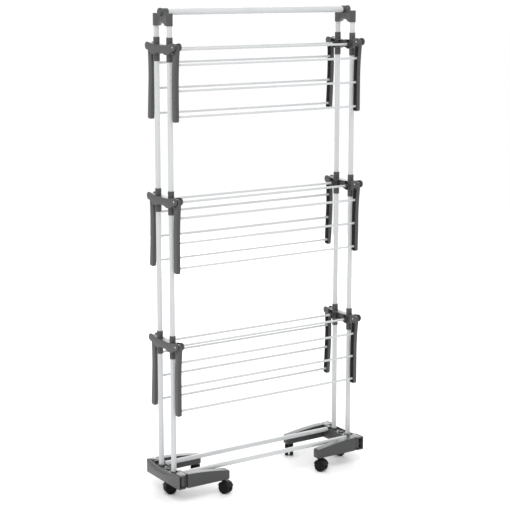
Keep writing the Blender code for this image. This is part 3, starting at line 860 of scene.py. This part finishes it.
# --- Wing arms -------------------------------------------------------------------------------------
@dataclass
class WingArm:
    """The twelve channel-shaped arms that carry the wings' rods.

    half is half an arm's width. The arm thickens at its head, round the hinge pin, and bends inboard by
    sag within its first bend metres. distances is how far below the pivot its three rods sit.
    """

    layout: Layout
    length: float = 0.245
    half: float = 0.012
    width: float = 0.0132
    head_width: float = 0.0174
    head_radius: float = 0.013
    head_half: float = 0.0115
    head_top: float = 0.0075
    head_corner: float = 0.006
    neck: float = 0.006
    hub_radius: float = 0.0075
    wall: float = 0.0018
    edge: float = 0.0013
    bend: float = 0.130
    sag: float = 0.010
    station: float = 0.009
    tip: float = 0.006
    boss: float = 0.0062
    boss_start: float = 0.0012
    rib: float = 0.0014
    rib_start: float = 0.60
    first_rib: float = 0.030
    distances: tuple[float, float, float] = (0.058, 0.143, 0.228)
    pin_bore: float = 0.0033
    slot_half: float = 0.0014
    slot_ends: Point = (0.0165, 0.0275)
    slot_at: float = 0.021
    slot_depth: float = 0.0009
    inner_x: float = 0.3643
    gap: float = 0.0003

    def offset(self, distance: float) -> float:
        """Return how far inboard the arm has bent at a distance below its pivot."""
        return self.sag * (1 - max(0.0, 1 - distance / self.bend) ** 2)

    def edges(self, inset: float, start: float, end: float) -> list[Point]:
        """Return both edges of the arm between two distances from the pivot, less an inset."""
        stations = spaced(start, end, max(2, round((end - start) / self.station)))
        size = self.half - inset
        inboard = [(self.offset(s) + size, -s) for s in stations]
        outboard = [(self.offset(s) - size, -s) for s in reversed(stations)]
        return inboard + outboard

    def silhouette(self) -> list[Point]:
        """Return the arm's outline, hanging from a pivot at the origin."""
        low = -self.length + self.tip
        turn = self.half - self.tip
        sides = self.edges(0.0, self.neck, self.length - self.tip)
        count = len(sides) // 2
        corner = arc((self.sag + turn, low), self.tip, 0, -90, 6)[1:]
        corner += arc((self.sag - turn, low), self.tip, -90, -180, 6)[:-1]
        side, rise = self.head_half - self.head_corner, self.head_top - self.head_corner
        head = arc((-side, rise), self.head_corner, 180, 90, 6)
        head += arc((side, rise), self.head_corner, 90, 0, 6)
        return head + sides[:count] + corner + sides[count:]

    def pattern(self) -> Piece:
        """Model the right-hand arm of a front wing, with X = 0 at its inner face."""
        body = Bench.soften(Bench.plate(Axis.X, self.silhouette(), 0.0, self.width), self.edge, 3, 60)
        floor = self.width - self.wall
        channel = self.edges(self.wall, self.head_radius + 0.005, self.length - self.wall - 0.002)
        Bench.carve(body, Bench.plate(Axis.X, channel, -self.width, floor))
        head = Bench.bar(Axis.X, (0, 0), self.hub_radius, self.gap, self.head_width)
        Bench.unite(body, Bench.soften(head, 0.0010))
        root = floor + self.wall / 2
        for near, distance in zip((self.first_rib, *self.distances), self.distances):
            spot = (self.offset(distance), -distance)
            boss = Bench.bar(Axis.X, spot, self.boss, self.boss_start, root, ROD_SIDES)
            Bench.unite(body, Bench.soften(boss, 0.0005, 2))
            for middle in (distance, (near + distance) / 2):
                centre = self.offset(middle)
                depth = self.width * self.rib_start
                low = (depth, centre - self.half + self.wall / 2, -middle - self.rib / 2)
                high = (root, centre + self.half - self.wall / 2, -middle + self.rib / 2)
                Bench.unite(body, Bench.block(low, high))
        for distance in self.distances:
            spot = (self.offset(distance), -distance)
            seat = self.layout.rod_radius + self.gap
            Bench.carve(body, Bench.bar(Axis.X, spot, seat, -OVERRUN, floor, ROD_SIDES))
        bore = Bench.bar(Axis.X, (0, 0), self.pin_bore, -OVERRUN, 2 * self.head_width, ROD_SIDES)
        Bench.carve(body, bore)
        start, end = self.slot_ends
        across, half = self.offset(self.slot_at), self.slot_half
        slot = arc((across, -start), half, 0, 180, 8) + arc((across, -end), half, 180, 360, 8)
        face = self.width
        return Bench.carve(body, Bench.plate(Axis.X, slot, face - self.slot_depth, face + OVERRUN))

    def lean(self, number: int) -> float:
        """Return how far a rear wing hangs out of plumb, from where the frame holds its outer rod."""
        low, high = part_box(f"wing_{number}_rear_rod_outer")
        pivot = joint_place(f"wing_{number}_rear_hinge")
        arm = (low + high) / 2 - pivot
        plumb = math.atan2(-self.sag, self.distances[-1])
        return math.atan2(arm.y, -arm.z) - plumb

    def build(self) -> None:
        """Build the arms of all six wings."""
        arm = self.pattern()
        for number in (1, 2, 3):
            for row in Row:
                body = f"wing_{number}_{row.name.lower()}"
                pivot = joint_place(f"{body}_hinge")
                turn = self.lean(number) if row is Row.REAR else 0.0
                for side in Side:
                    hang = moved(0, pivot.y, pivot.z) @ Matrix.Rotation(turn, 4, "X")
                    place = hang @ moved(side.value * self.inner_x) @ flipped(side.value, -row.value)
                    node = f"{body}_arm_{side.name.lower()}"
                    Bench.issue(Bench.stamp(arm, place), f"{node}_moulding", Finish.SHELL, body, node)
        discard(arm)


# --- Top caps --------------------------------------------------------------------------------------
@dataclass
class TopCap:
    """The caps that close the posts and hold the hanging bar between their knobs."""

    layout: Layout
    radius: float = 0.0116
    edge: float = 0.0012
    waist: float = 0.0088
    waist_half: float = 0.016
    arch_half: float = 0.0335
    arch_height: float = 0.0125
    arch_power: float = 1.2
    bar_sink: float = 0.004
    post_cover: float = 0.012
    knob_radius: float = 0.0139
    collar_radius: float = 0.0127
    knob_inner: float = -0.017
    knob_outer: float = 0.0155
    groove_start: float = 0.0052
    groove_width: float = 0.0020
    groove_depth: float = 0.0032
    dome: float = 0.0045
    knob_wall: float = 0.0035
    skirt: float = 0.0060
    skirt_rise: float = 0.008
    gap: float = 0.0003

    def pattern(self) -> Piece:
        """Model the right-hand cap, with X = 0 in the plane of the posts."""
        low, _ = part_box("top_cap_right")
        bar_low, bar_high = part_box("top_bar")
        bar_z = (bar_low.z + bar_high.z) / 2
        bar_radius = (bar_high.z - bar_low.z) / 2
        top = bar_z - self.bar_sink
        post_y = self.layout.post_y
        plan = arc((0, post_y), self.radius, 0, 180, 18)
        plan += [(-self.thickness(y), y) for y in spaced(post_y, -post_y, 24)[1:-1]]
        plan += arc((0, -post_y), self.radius, 180, 360, 18)
        plan += [(self.thickness(y), y) for y in spaced(-post_y, post_y, 24)[1:-1]]
        body = Bench.plate(Axis.Z, plan, low.z, top)
        half = self.arch_half
        arch = []
        for y in spaced(half, -half, 28):
            arch.append((y, low.z + self.arch_height * math.cos(math.pi * y / 2 / half) ** self.arch_power))
        arch += [(-half, low.z - self.arch_height), (half, low.z - self.arch_height)]
        Bench.carve(body, Bench.plate(Axis.X, arch, -2 * self.radius, 2 * self.radius))
        Bench.soften(body, self.edge, 3, 60)
        skirt = [(-self.knob_radius - self.skirt, top - 0.0008)]
        for share in (0.25, 0.5, 0.75, 1.0):
            rise = self.skirt_rise * share * share
            skirt.append((-self.knob_radius - self.skirt * (1 - share), top + rise))
        skirt += [(-y, z) for y, z in reversed(skirt)]
        skirt_half = self.radius - 0.002
        Bench.unite(body, Bench.soften(Bench.plate(Axis.X, skirt, -skirt_half, skirt_half), 0.0008, 2, 70))
        Bench.unite(body, self.knob(bar_z))
        for sign in (-1, 1):
            bore = self.layout.post_radius + self.gap
            post = Bench.bar(Axis.Z, (0, sign * post_y), bore, low.z - OVERRUN, top - self.post_cover)
            Bench.carve(body, post)
        blind = self.knob_outer - self.knob_wall
        return Bench.carve(body, Bench.bar(Axis.X, (0, bar_z), bar_radius + self.gap, -0.05, blind))

    def thickness(self, y: float) -> float:
        """Return half the cap's thickness at a distance from its middle, between its waist and a post."""
        share = (abs(y) - self.waist_half) / (self.layout.post_y - self.waist_half)
        return self.waist + (self.radius - self.waist) * ease(share)

    def knob(self, height: float) -> Piece:
        """Return the knob: a collar round the bar, a groove and a domed end."""
        start, end = self.knob_inner, self.knob_outer
        radius, collar = self.knob_radius, self.collar_radius
        groove, floor = self.groove_start, self.knob_radius - self.groove_depth
        profile = [(0.0, start), (collar - 0.0009, start), (collar - 0.0003, start + 0.0004)]
        profile += [(collar, start + 0.0012), (collar, groove - 0.0006), (collar - 0.0005, groove)]
        profile += [(floor, groove + 0.0003), (floor, groove + self.groove_width - 0.0003)]
        groove_end = groove + self.groove_width
        profile += [(radius - 0.0004, groove_end), (radius, groove_end + 0.0005)]
        profile += arc((radius - self.dome, end - self.dome), self.dome, 0, 80, 6)
        profile += [(radius * 0.45, end), (0.0, end)]
        return Bench.lathe(Axis.X, (0, height), profile)

    def build(self) -> None:
        """Build both caps."""
        cap = self.pattern()
        for side in Side:
            node = f"top_cap_{side.name.lower()}"
            place = moved(side.value * self.layout.end_x) @ flipped(side.value)
            Bench.issue(Bench.stamp(cap, place), f"{node}_moulding", Finish.SHELL, "frame", node)
        discard(cap)


# --- Base beams ------------------------------------------------------------------------------------
@dataclass
class BaseBeam:
    """The two beams that carry the posts, the base bars and the legs' hinges.

    A drop is measured down from the beam's top, a reach or a y out from its middle. sweep_lean moves the
    deepest point of the outer face's sweep along, and sweep_flare fills its two ends out.
    """

    layout: Layout
    half: float = 0.020
    wall: float = 0.003
    edge: float = 0.0010
    deck_drop: float = 0.011
    rim_drop: float = 0.0045
    inner_rim_drop: float = 0.0075
    block_end: float = 0.0815
    block_start: float = 0.0725
    wall_end: float = 0.1129
    hinge_y: float = 0.097
    ear_radius: float = 0.0148
    lower_ear: float = 0.004
    upper_ear: float = 0.005
    pin_radius: float = 0.004
    ring_wall: float = 0.0030
    bar_y: float = 0.060
    bar_drop: float = 0.011
    bar_radius: float = 0.008
    socket: float = 0.013
    boss_radius: float = 0.0105
    boss_height: float = 0.005
    ring_drop: float = 0.0035
    rim_reach: float = 0.048
    rim_wall: float = 0.0024
    dip_end: float = 0.050
    dip_length: float = 0.024
    housing_wall: float = 0.0022
    post_depth: float = 0.029
    pocket_start: float = 0.0145
    pocket_end: float = 0.031
    stem_bore: float = 0.0044
    stem_depth: float = 0.024
    grooves: tuple[float, ...] = (0.0100, 0.0145, 0.0190)
    groove_reach: float = 0.046
    groove_height: float = 0.0014
    groove_depth: float = 0.0009
    sweep_drop: float = 0.020
    sweep_depth: float = 0.0008
    sweep_lean: float = 0.8
    sweep_flare: float = 0.75
    gutter: float = 0.0042
    gutter_depth: float = 0.0022
    root: float = 0.002
    gap: float = 0.0003

    def ear(self) -> list[Point]:
        """Return a hinge ear in plan."""
        root = self.block_end - self.wall
        outline = [(self.half, root), (self.half, self.hinge_y + self.ear_radius)]
        outline += arc((0, self.hinge_y), self.ear_radius, 90, 180, 14)
        return outline + [(-self.ear_radius, root)]

    def outer_wall(self) -> list[Point]:
        """Return the outer wall seen from the end: its top edge dips between the two ends."""
        top = self.layout.base_top
        upper = []
        for y in spaced(self.wall_end, -self.wall_end, 40):
            dip = self.rim_drop * (1 - ease((abs(y) - self.dip_end) / self.dip_length))
            upper.append((y, top - 0.0003 - dip))
        low = self.layout.underside
        return [(-self.wall_end, low), (self.wall_end, low)] + upper

    def sweep(self) -> list[Point]:
        """Return the outline of the panel sunk in the outer face, whose lower edge is one long sweep."""
        top = self.layout.base_top
        reach = self.wall_end - 0.004
        lower = []
        for share in spaced(0.0, 1.0, 40):
            wave = max(0.0, math.sin(math.pi * share**self.sweep_lean))
            lower.append((reach * (1 - 2 * share), top - 0.0012 - self.sweep_drop * wave**self.sweep_flare))
        return lower + [(-reach, top + OVERRUN), (reach, top + OVERRUN)]

    def post_ring(self, y: float) -> Piece:
        """Return the collar round a post's foot."""
        inner = self.layout.post_radius + self.gap
        outer = inner + self.ring_wall
        deck = self.layout.base_top - self.deck_drop
        top = self.layout.base_top - self.ring_drop
        profile = [(inner - 0.0004, deck - self.root), (outer + 0.0006, deck - self.root)]
        profile += [(outer + 0.0003, deck + 0.0005), (outer - 0.0002, top - 0.0012), (outer - 0.0010, top)]
        profile += [(inner + 0.0006, top), (inner - 0.0004, top - 0.0006)]
        return Bench.lathe(Axis.Z, (0, y), profile, TUBE_SIDES, ring=True)

    def centre_boss(self) -> Piece:
        """Return the dished boss over the middle caster's socket."""
        deck = self.layout.base_top - self.deck_drop
        radius, rim = self.boss_radius, deck + self.boss_height
        profile = [(0.0, deck - 0.003), (radius + 0.0008, deck - 0.003), (radius + 0.0003, deck + 0.001)]
        profile += [(radius - 0.0003, rim - 0.0008), (radius - 0.0012, rim), (radius - 0.0032, rim)]
        profile += [(radius - 0.0040, rim - 0.0024), (0.0, rim - 0.0024)]
        return Bench.lathe(Axis.Z, (0, 0), profile)

    def pattern(self) -> Piece:
        """Model the right-hand beam, with X = 0 in the plane of the posts."""
        low, top, half = self.layout.underside, self.layout.base_top, self.half
        deck = top - self.deck_drop
        body = Bench.block((-half, -self.block_end, low), (half, self.block_end, deck))
        Bench.soften(body, self.edge)
        outer = Bench.plate(Axis.X, self.outer_wall(), half - self.wall, half)
        Bench.unite(body, Bench.soften(outer, 0.0007, 2, 60))
        for height in self.grooves:
            near = (-half - OVERRUN, -self.groove_reach, low + height)
            far = (-half + self.groove_depth, self.groove_reach, low + height + self.groove_height)
            Bench.carve(body, Bench.block(near, far))
        near = (-half, -self.rim_reach, deck - self.root)
        far = (-half + self.rim_wall, self.rim_reach, top - self.inner_rim_drop)
        Bench.unite(body, Bench.soften(Bench.block(near, far), 0.0006, 2), self.centre_boss())
        for sign in (-1, 1):
            self.add_end(body, sign)
        panel = Bench.plate(Axis.X, self.sweep(), half - self.sweep_depth, half + OVERRUN)
        socket = Bench.bar(Axis.Z, (0, 0), self.stem_bore, low - OVERRUN, low + self.stem_depth, ROD_SIDES)
        return Bench.carve(body, panel, socket)

    def add_end(self, body: Piece, sign: int) -> None:
        """Add one end's ears, block, bar housing, post ring, hinge pin and gutter.

        Args:
            body: the beam.
            sign: which end, by the sign of Y.
        """
        low, top, half = self.layout.underside, self.layout.base_top, self.half
        deck, bar_z = top - self.deck_drop, top - self.bar_drop
        post_y, bar_y = sign * self.layout.post_y, sign * self.bar_y
        ear = [(x, sign * y) for x, y in self.ear()]
        lower = Bench.soften(Bench.plate(Axis.Z, ear, low, low + self.lower_ear), 0.0008, 2, 60)
        upper = Bench.soften(Bench.plate(Axis.Z, ear, top - self.upper_ear, top), 0.0012, 3, 60)
        start, end = span(sign, self.block_start, self.block_end)
        block = Bench.block((-half, start, deck - self.root), (half, end, top))
        Bench.unite(body, lower, upper, Bench.soften(block, 0.0010))
        housing = self.bar_radius + self.gap + self.housing_wall
        near = (-half, bar_y - housing, deck - 0.003)
        far = (-half + self.socket + self.housing_wall, bar_y + housing, bar_z + housing)
        Bench.unite(body, Bench.soften(Bench.block(near, far), 0.0014), self.post_ring(post_y))
        bore = self.layout.post_radius + self.gap
        start, end = span(sign, self.pocket_start, self.pocket_end)
        near, far = (-half + self.wall, start, low - OVERRUN), (half - self.wall, end, deck - self.wall)
        Bench.carve(
            body,
            Bench.bar(Axis.Z, (0, post_y), bore, top - self.post_depth, top + OVERRUN),
            Bench.bar(Axis.X, (bar_y, bar_z), self.bar_radius + self.gap, -2 * half, -half + self.socket),
            Bench.block(near, far),
        )
        hinge = (0, sign * self.hinge_y)
        Bench.unite(body, Bench.bar(Axis.Z, hinge, self.pin_radius, low + 0.003, top - 0.003, ROD_SIDES))
        start, end = span(sign, self.block_start - 0.001, self.wall_end + OVERRUN)
        inner = half - self.wall + 0.0008
        near = (inner - self.gutter, start, top - self.gutter_depth)
        Bench.carve(body, Bench.block(near, (inner, end, top + OVERRUN)))

    def build(self) -> None:
        """Build both beams."""
        beam = self.pattern()
        for side in Side:
            node = f"base_beam_{side.name.lower()}"
            place = moved(side.value * self.layout.end_x) @ flipped(side.value)
            Bench.issue(Bench.stamp(beam, place), f"{node}_moulding", Finish.BEAM, "frame", node)
        discard(beam)


# --- Legs ------------------------------------------------------------------------------------------
@dataclass
class Leg:
    """The four legs that swing out from the beams' ends on vertical pins.

    droop sets how late the ridge falls to the tip, and under_round how much of the tip's rounding its
    underside takes up.
    """

    layout: Layout
    half: float = 0.0145
    butt: float = 0.0155
    length: float = 0.187
    tip_height: float = 0.0315
    corner: float = 0.008
    crown: float = 0.0006
    columns: int = 22
    across: int = 8
    edge: float = 0.0018
    droop: float = 1.7
    under_round: float = 0.6
    barrel: float = 0.010
    neck_half: float = 0.008
    bore: float = 0.0043
    stem_at: float = 0.168
    stem_bore: float = 0.0044
    stem_depth: float = 0.024
    rib_shares: tuple[float, ...] = (0.3, 0.65)
    rib_half: float = 0.001
    rib_height: float = 0.028
    wall: float = 0.003
    lower_ear: float = 0.004
    upper_ear: float = 0.005
    gap: float = 0.0003

    def top(self, x: float) -> float:
        """Return the height of the leg's ridge at a distance from its hinge."""
        share = (x - self.butt) / (self.length - self.butt)
        height = self.layout.base_top - self.layout.underside
        ridge = self.layout.base_top - (height - self.tip_height) * max(0.0, share) ** self.droop
        return ridge - self.rounding(x)

    def rounding(self, x: float) -> float:
        """Return how far the tip's rounded corner falls short of a square one."""
        past = max(0.0, x - (self.length - self.corner)) / self.corner
        return self.corner * (1 - math.sqrt(max(0.0, 1 - past * past)))

    def shell(self) -> Piece:
        """Model the leg's plain body: a crowned ridge pushed down to a flat underside."""
        tip = self.length - self.corner
        columns = spaced(self.butt, tip, self.columns)
        columns += [tip + self.corner * math.sin(math.radians(a)) for a in (15, 30, 45, 60, 75, 90)]
        last = len(columns) - 1
        bpy.ops.object.select_all(action="DESELECT")
        bpy.ops.mesh.primitive_grid_add(
            x_subdivisions=last, y_subdivisions=self.across, size=2.0, location=(0, 0, 0)
        )
        body = bpy.context.view_layer.objects.active
        for vertex in body.data.vertices:
            x = columns[round((vertex.co.x + 1) / 2 * last)]
            share = vertex.co.y
            half = self.half - self.rounding(x)
            vertex.co = (x, share * half, self.top(x) + self.crown * (1 - share * share))
        bpy.ops.object.mode_set(mode="EDIT")
        bpy.ops.mesh.select_all(action="SELECT")
        bpy.ops.mesh.extrude_region_move(TRANSFORM_OT_translate={"value": (0, 0, -1.0)})
        bpy.ops.object.mode_set(mode="OBJECT")
        for vertex in body.data.vertices:
            if vertex.co.z < 0:
                vertex.co.z = self.layout.underside + self.under_round * self.rounding(vertex.co.x)
        return Bench.soften(Bench.outward(body), self.edge, 4, 42)

    def pattern(self) -> Piece:
        """Model the front left leg, with its hinge axis at X = Y = 0 and its tip towards +X."""
        body = self.shell()
        root, floor = self.butt + self.wall, self.layout.underside
        low = floor + self.lower_ear + self.gap
        high = self.layout.base_top - self.upper_ear - self.gap
        barrel = Bench.soften(Bench.bar(Axis.Z, (0, 0), self.barrel, low, high), 0.0005, 2)
        neck = Bench.block((0, -self.neck_half, low + 0.0015), (root, self.neck_half, high - 0.0015))
        Bench.unite(body, barrel, neck)
        pocket_end = self.stem_at - self.stem_bore - 3 * self.wall
        near = (root, -self.half + self.wall, floor - OVERRUN)
        far = (pocket_end, self.half - self.wall, floor + self.tip_height - self.wall - 0.001)
        Bench.carve(
            body,
            Bench.block(near, far),
            Bench.bar(Axis.Z, (0, 0), self.bore, 0, 0.2, ROD_SIDES),
            Bench.bar(Axis.Z, (self.stem_at, 0), self.stem_bore, 0, floor + self.stem_depth, ROD_SIDES),
        )
        for share in self.rib_shares:
            x = self.butt + (pocket_end - self.butt) * share
            near = (x - self.rib_half, -self.half + 0.001, floor + 0.002)
            far = (x + self.rib_half, self.half - 0.001, floor + self.rib_height)
            Bench.unite(body, Bench.block(near, far))
        return body

    def build(self) -> None:
        """Build the four legs."""
        leg = self.pattern()
        for side in Side:
            for row in Row:
                node = f"leg_{row.name.lower()}_{side.name.lower()}"
                hinge = joint_place(f"{node}_hinge")
                place = moved(hinge.x, hinge.y) @ flipped(-side.value, -row.value)
                Bench.issue(Bench.stamp(leg, place), f"{node}_moulding", Finish.LEG, node, node)
        discard(leg)


# --- Casters ---------------------------------------------------------------------------------------
PLACES = [f"{row}_{side}" for row in ("front", "rear", "centre") for side in ("left", "right")]


@dataclass
class Caster:
    """The six twin-wheel casters, each a hood on its stem and two wheels on one axle."""

    layout: Layout
    half: float = 0.0155
    tread: float = 0.0030
    inner_face: float = 0.0031
    axle: float = 0.0025
    hood_gap: float = 0.0008
    hood_wall: float = 0.0018
    web: float = 0.0025
    open_angle: float = 14.0
    trail: float = 0.008
    seat: float = 0.0075
    stem: float = 0.004
    stem_length: float = 0.0235
    gap: float = 0.0003

    def hood(self) -> Piece:
        """Model a hood with its swivel axis at X = Y = 0 and its axle towards +X."""
        radius = self.layout.floor_to_axle
        centre = (self.trail, radius)
        inner = radius + self.hood_gap
        outer = inner + self.hood_wall
        angle = self.open_angle
        shell = arc(centre, outer, angle, 180 - angle, 32) + arc(centre, inner, 180 - angle, angle, 32)
        body = Bench.soften(Bench.plate(Axis.Y, shell, -self.half, self.half), 0.0006, 2, 60)
        under = self.layout.underside - self.gap
        bottom, tip, flange = radius + inner / 2, under + self.stem_length, self.seat + 0.0012
        seat = [(0.0, bottom), (self.seat, bottom), (self.seat, under - 0.0022)]
        seat += [(flange, under - 0.0016), (flange, under - 0.0004), (self.seat + 0.0008, under)]
        seat += [(self.stem, under), (self.stem, tip - 0.001), (self.stem - 0.001, tip), (0.0, tip)]
        Bench.unite(body, Bench.lathe(Axis.Z, (0, 0), seat, ROD_SIDES))
        for sign in (-1, 1):
            Bench.carve(body, Bench.bar(Axis.Y, centre, inner, *span(sign, self.web, 0.04)))
        web = arc(centre, inner + self.hood_wall / 2, angle, 180 - angle, 32)
        web += arc(centre, 3 * self.axle, 200, 340, 12)
        Bench.unite(body, Bench.plate(Axis.Y, web, -self.web, self.web))
        return Bench.carve(body, Bench.bar(Axis.Y, centre, self.axle + self.gap, -0.02, 0.02, ROD_SIDES))

    def wheels(self) -> Piece:
        """Model the wheel pair, centred on its axle, with rounded treads and dished hubs."""
        radius, inner, face, tread = self.layout.floor_to_axle, self.inner_face, self.half, self.tread
        half = [(self.axle, inner), (radius - 0.0009, inner), (radius, inner + 0.0009)]
        half += [(radius, face - tread)]
        half += arc((radius - tread, face - tread), tread, 15, 80, 5)
        half += [(radius - 0.0042, face - 0.0002), (radius - 0.0050, face - 0.0012)]
        half += [(radius * 0.48, face - 0.0016), (radius * 0.42, face - 0.0004), (radius * 0.38, face)]
        half += [(radius * 0.16, face), (0.0, face - 0.0001)]
        return Bench.lathe(Axis.Y, (0, 0), far_half(half) + half)

    def build(self) -> None:
        """Build the six casters at their own swivel angles."""
        hood, wheels = self.hood(), self.wheels()
        for where in PLACES:
            name = f"caster_{where}"
            stem, axle = joint_place(f"{name}_swivel"), joint_place(f"{name}_roll")
            turn = Matrix.Rotation(math.atan2(axle.y - stem.y, axle.x - stem.x), 4, "Z")
            piece = Bench.stamp(hood, moved(stem.x, stem.y) @ turn)
            Bench.issue(piece, f"{name}_hood_moulding", Finish.HOOD, f"{name}_fork", f"{name}_hood")
            piece = Bench.stamp(wheels, moved(axle.x, axle.y, axle.z) @ turn)
            Bench.issue(piece, f"{name}_wheel_pair", Finish.TREAD, f"{name}_wheels", f"{name}_wheels")
        discard(hood, wheels)


# --- Studio ----------------------------------------------------------------------------------------
@dataclass
class Studio:
    """The pale floor, the soft lights and the camera.

    The angles are in degrees: heading turns from +Y towards +X, and pitch looks down.
    """

    camera_place: Colour = (-2.7087, -4.1098, 1.7737)
    heading: float = 33.28
    pitch: float = 10.11
    lens: float = 100.6
    shift: float = -0.050
    pale: Colour = (0.99, 0.99, 0.99)
    patched: Colour = (0.98, 0.98, 0.98)
    daylight: float = 1.04
    aim: Colour = (0.0, 0.0, 0.8)

    def floor(self) -> None:
        """Lay a wide pale floor."""
        bpy.ops.object.select_all(action="DESELECT")
        bpy.ops.mesh.primitive_plane_add(size=60.0, location=(0, 0, 0))
        plane = bpy.context.view_layer.objects.active
        plane.name = "studio_floor"
        shading = Shading("studio_white")
        colour = shading.blend(shading.noise(3.0, 2.0), self.pale, self.patched)
        plane.data.materials.append(shading.finish(Base_Color=colour, Roughness=0.9))

    def lamp(self, name: str, place: Colour, size: float, power: float) -> None:
        """Hang a square soft light that faces the rack's middle.

        Args:
            name: the light's name.
            place: where it hangs.
            size: the side of its square.
            power: its output in watts.
        """
        light = bpy.data.lights.new(name, "AREA")
        light.size = size
        light.energy = power
        holder = bpy.data.objects.new(name, light)
        bpy.context.scene.collection.objects.link(holder)
        holder.visible_camera = False
        holder.location = place
        facing = Vector(self.aim) - Vector(place)
        holder.rotation_euler = facing.to_track_quat("-Z", "Y").to_euler()

    def world(self) -> None:
        """Surround the rack with an even white."""
        world = bpy.data.worlds.new("studio_world")
        world.use_nodes = True
        inputs = world.node_tree.nodes["Background"].inputs
        inputs["Color"].default_value = (1.0, 1.0, 1.0, 1.0)
        inputs["Strength"].default_value = self.daylight
        bpy.context.scene.world = world
        bpy.context.scene.view_settings.view_transform = "Standard"

    def camera(self) -> None:
        """Set the camera on its stand."""
        data = bpy.data.cameras.new("camera")
        data.lens = self.lens
        data.shift_y = self.shift
        holder = bpy.data.objects.new("camera", data)
        bpy.context.scene.collection.objects.link(holder)
        holder.location = self.camera_place
        holder.rotation_euler = (math.radians(90 - self.pitch), 0, math.radians(-self.heading))
        bpy.context.scene.camera = holder

    def build(self) -> None:
        """Set up the whole studio."""
        self.camera()
        self.world()
        self.floor()
        self.lamp("key_light", (-2.0, -2.4, 4.4), 2.4, 70.0)
        self.lamp("back_light", (2.4, 3.7, 1.9), 3.4, 95.0)


def main() -> None:
    """Build the rack and its studio, logging each assembly and each piece's face count."""
    logging.basicConfig(level=logging.INFO, format="%(message)s")
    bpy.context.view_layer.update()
    Studio().build()
    layout = Layout.read()
    for assembly in (Tubes, TierBracket, WingArm, TopCap, BaseBeam, Leg, Caster):
        LOG.info("building %s", assembly.__name__)
        assembly(layout).build()


if __name__ == "__main__":
    main()
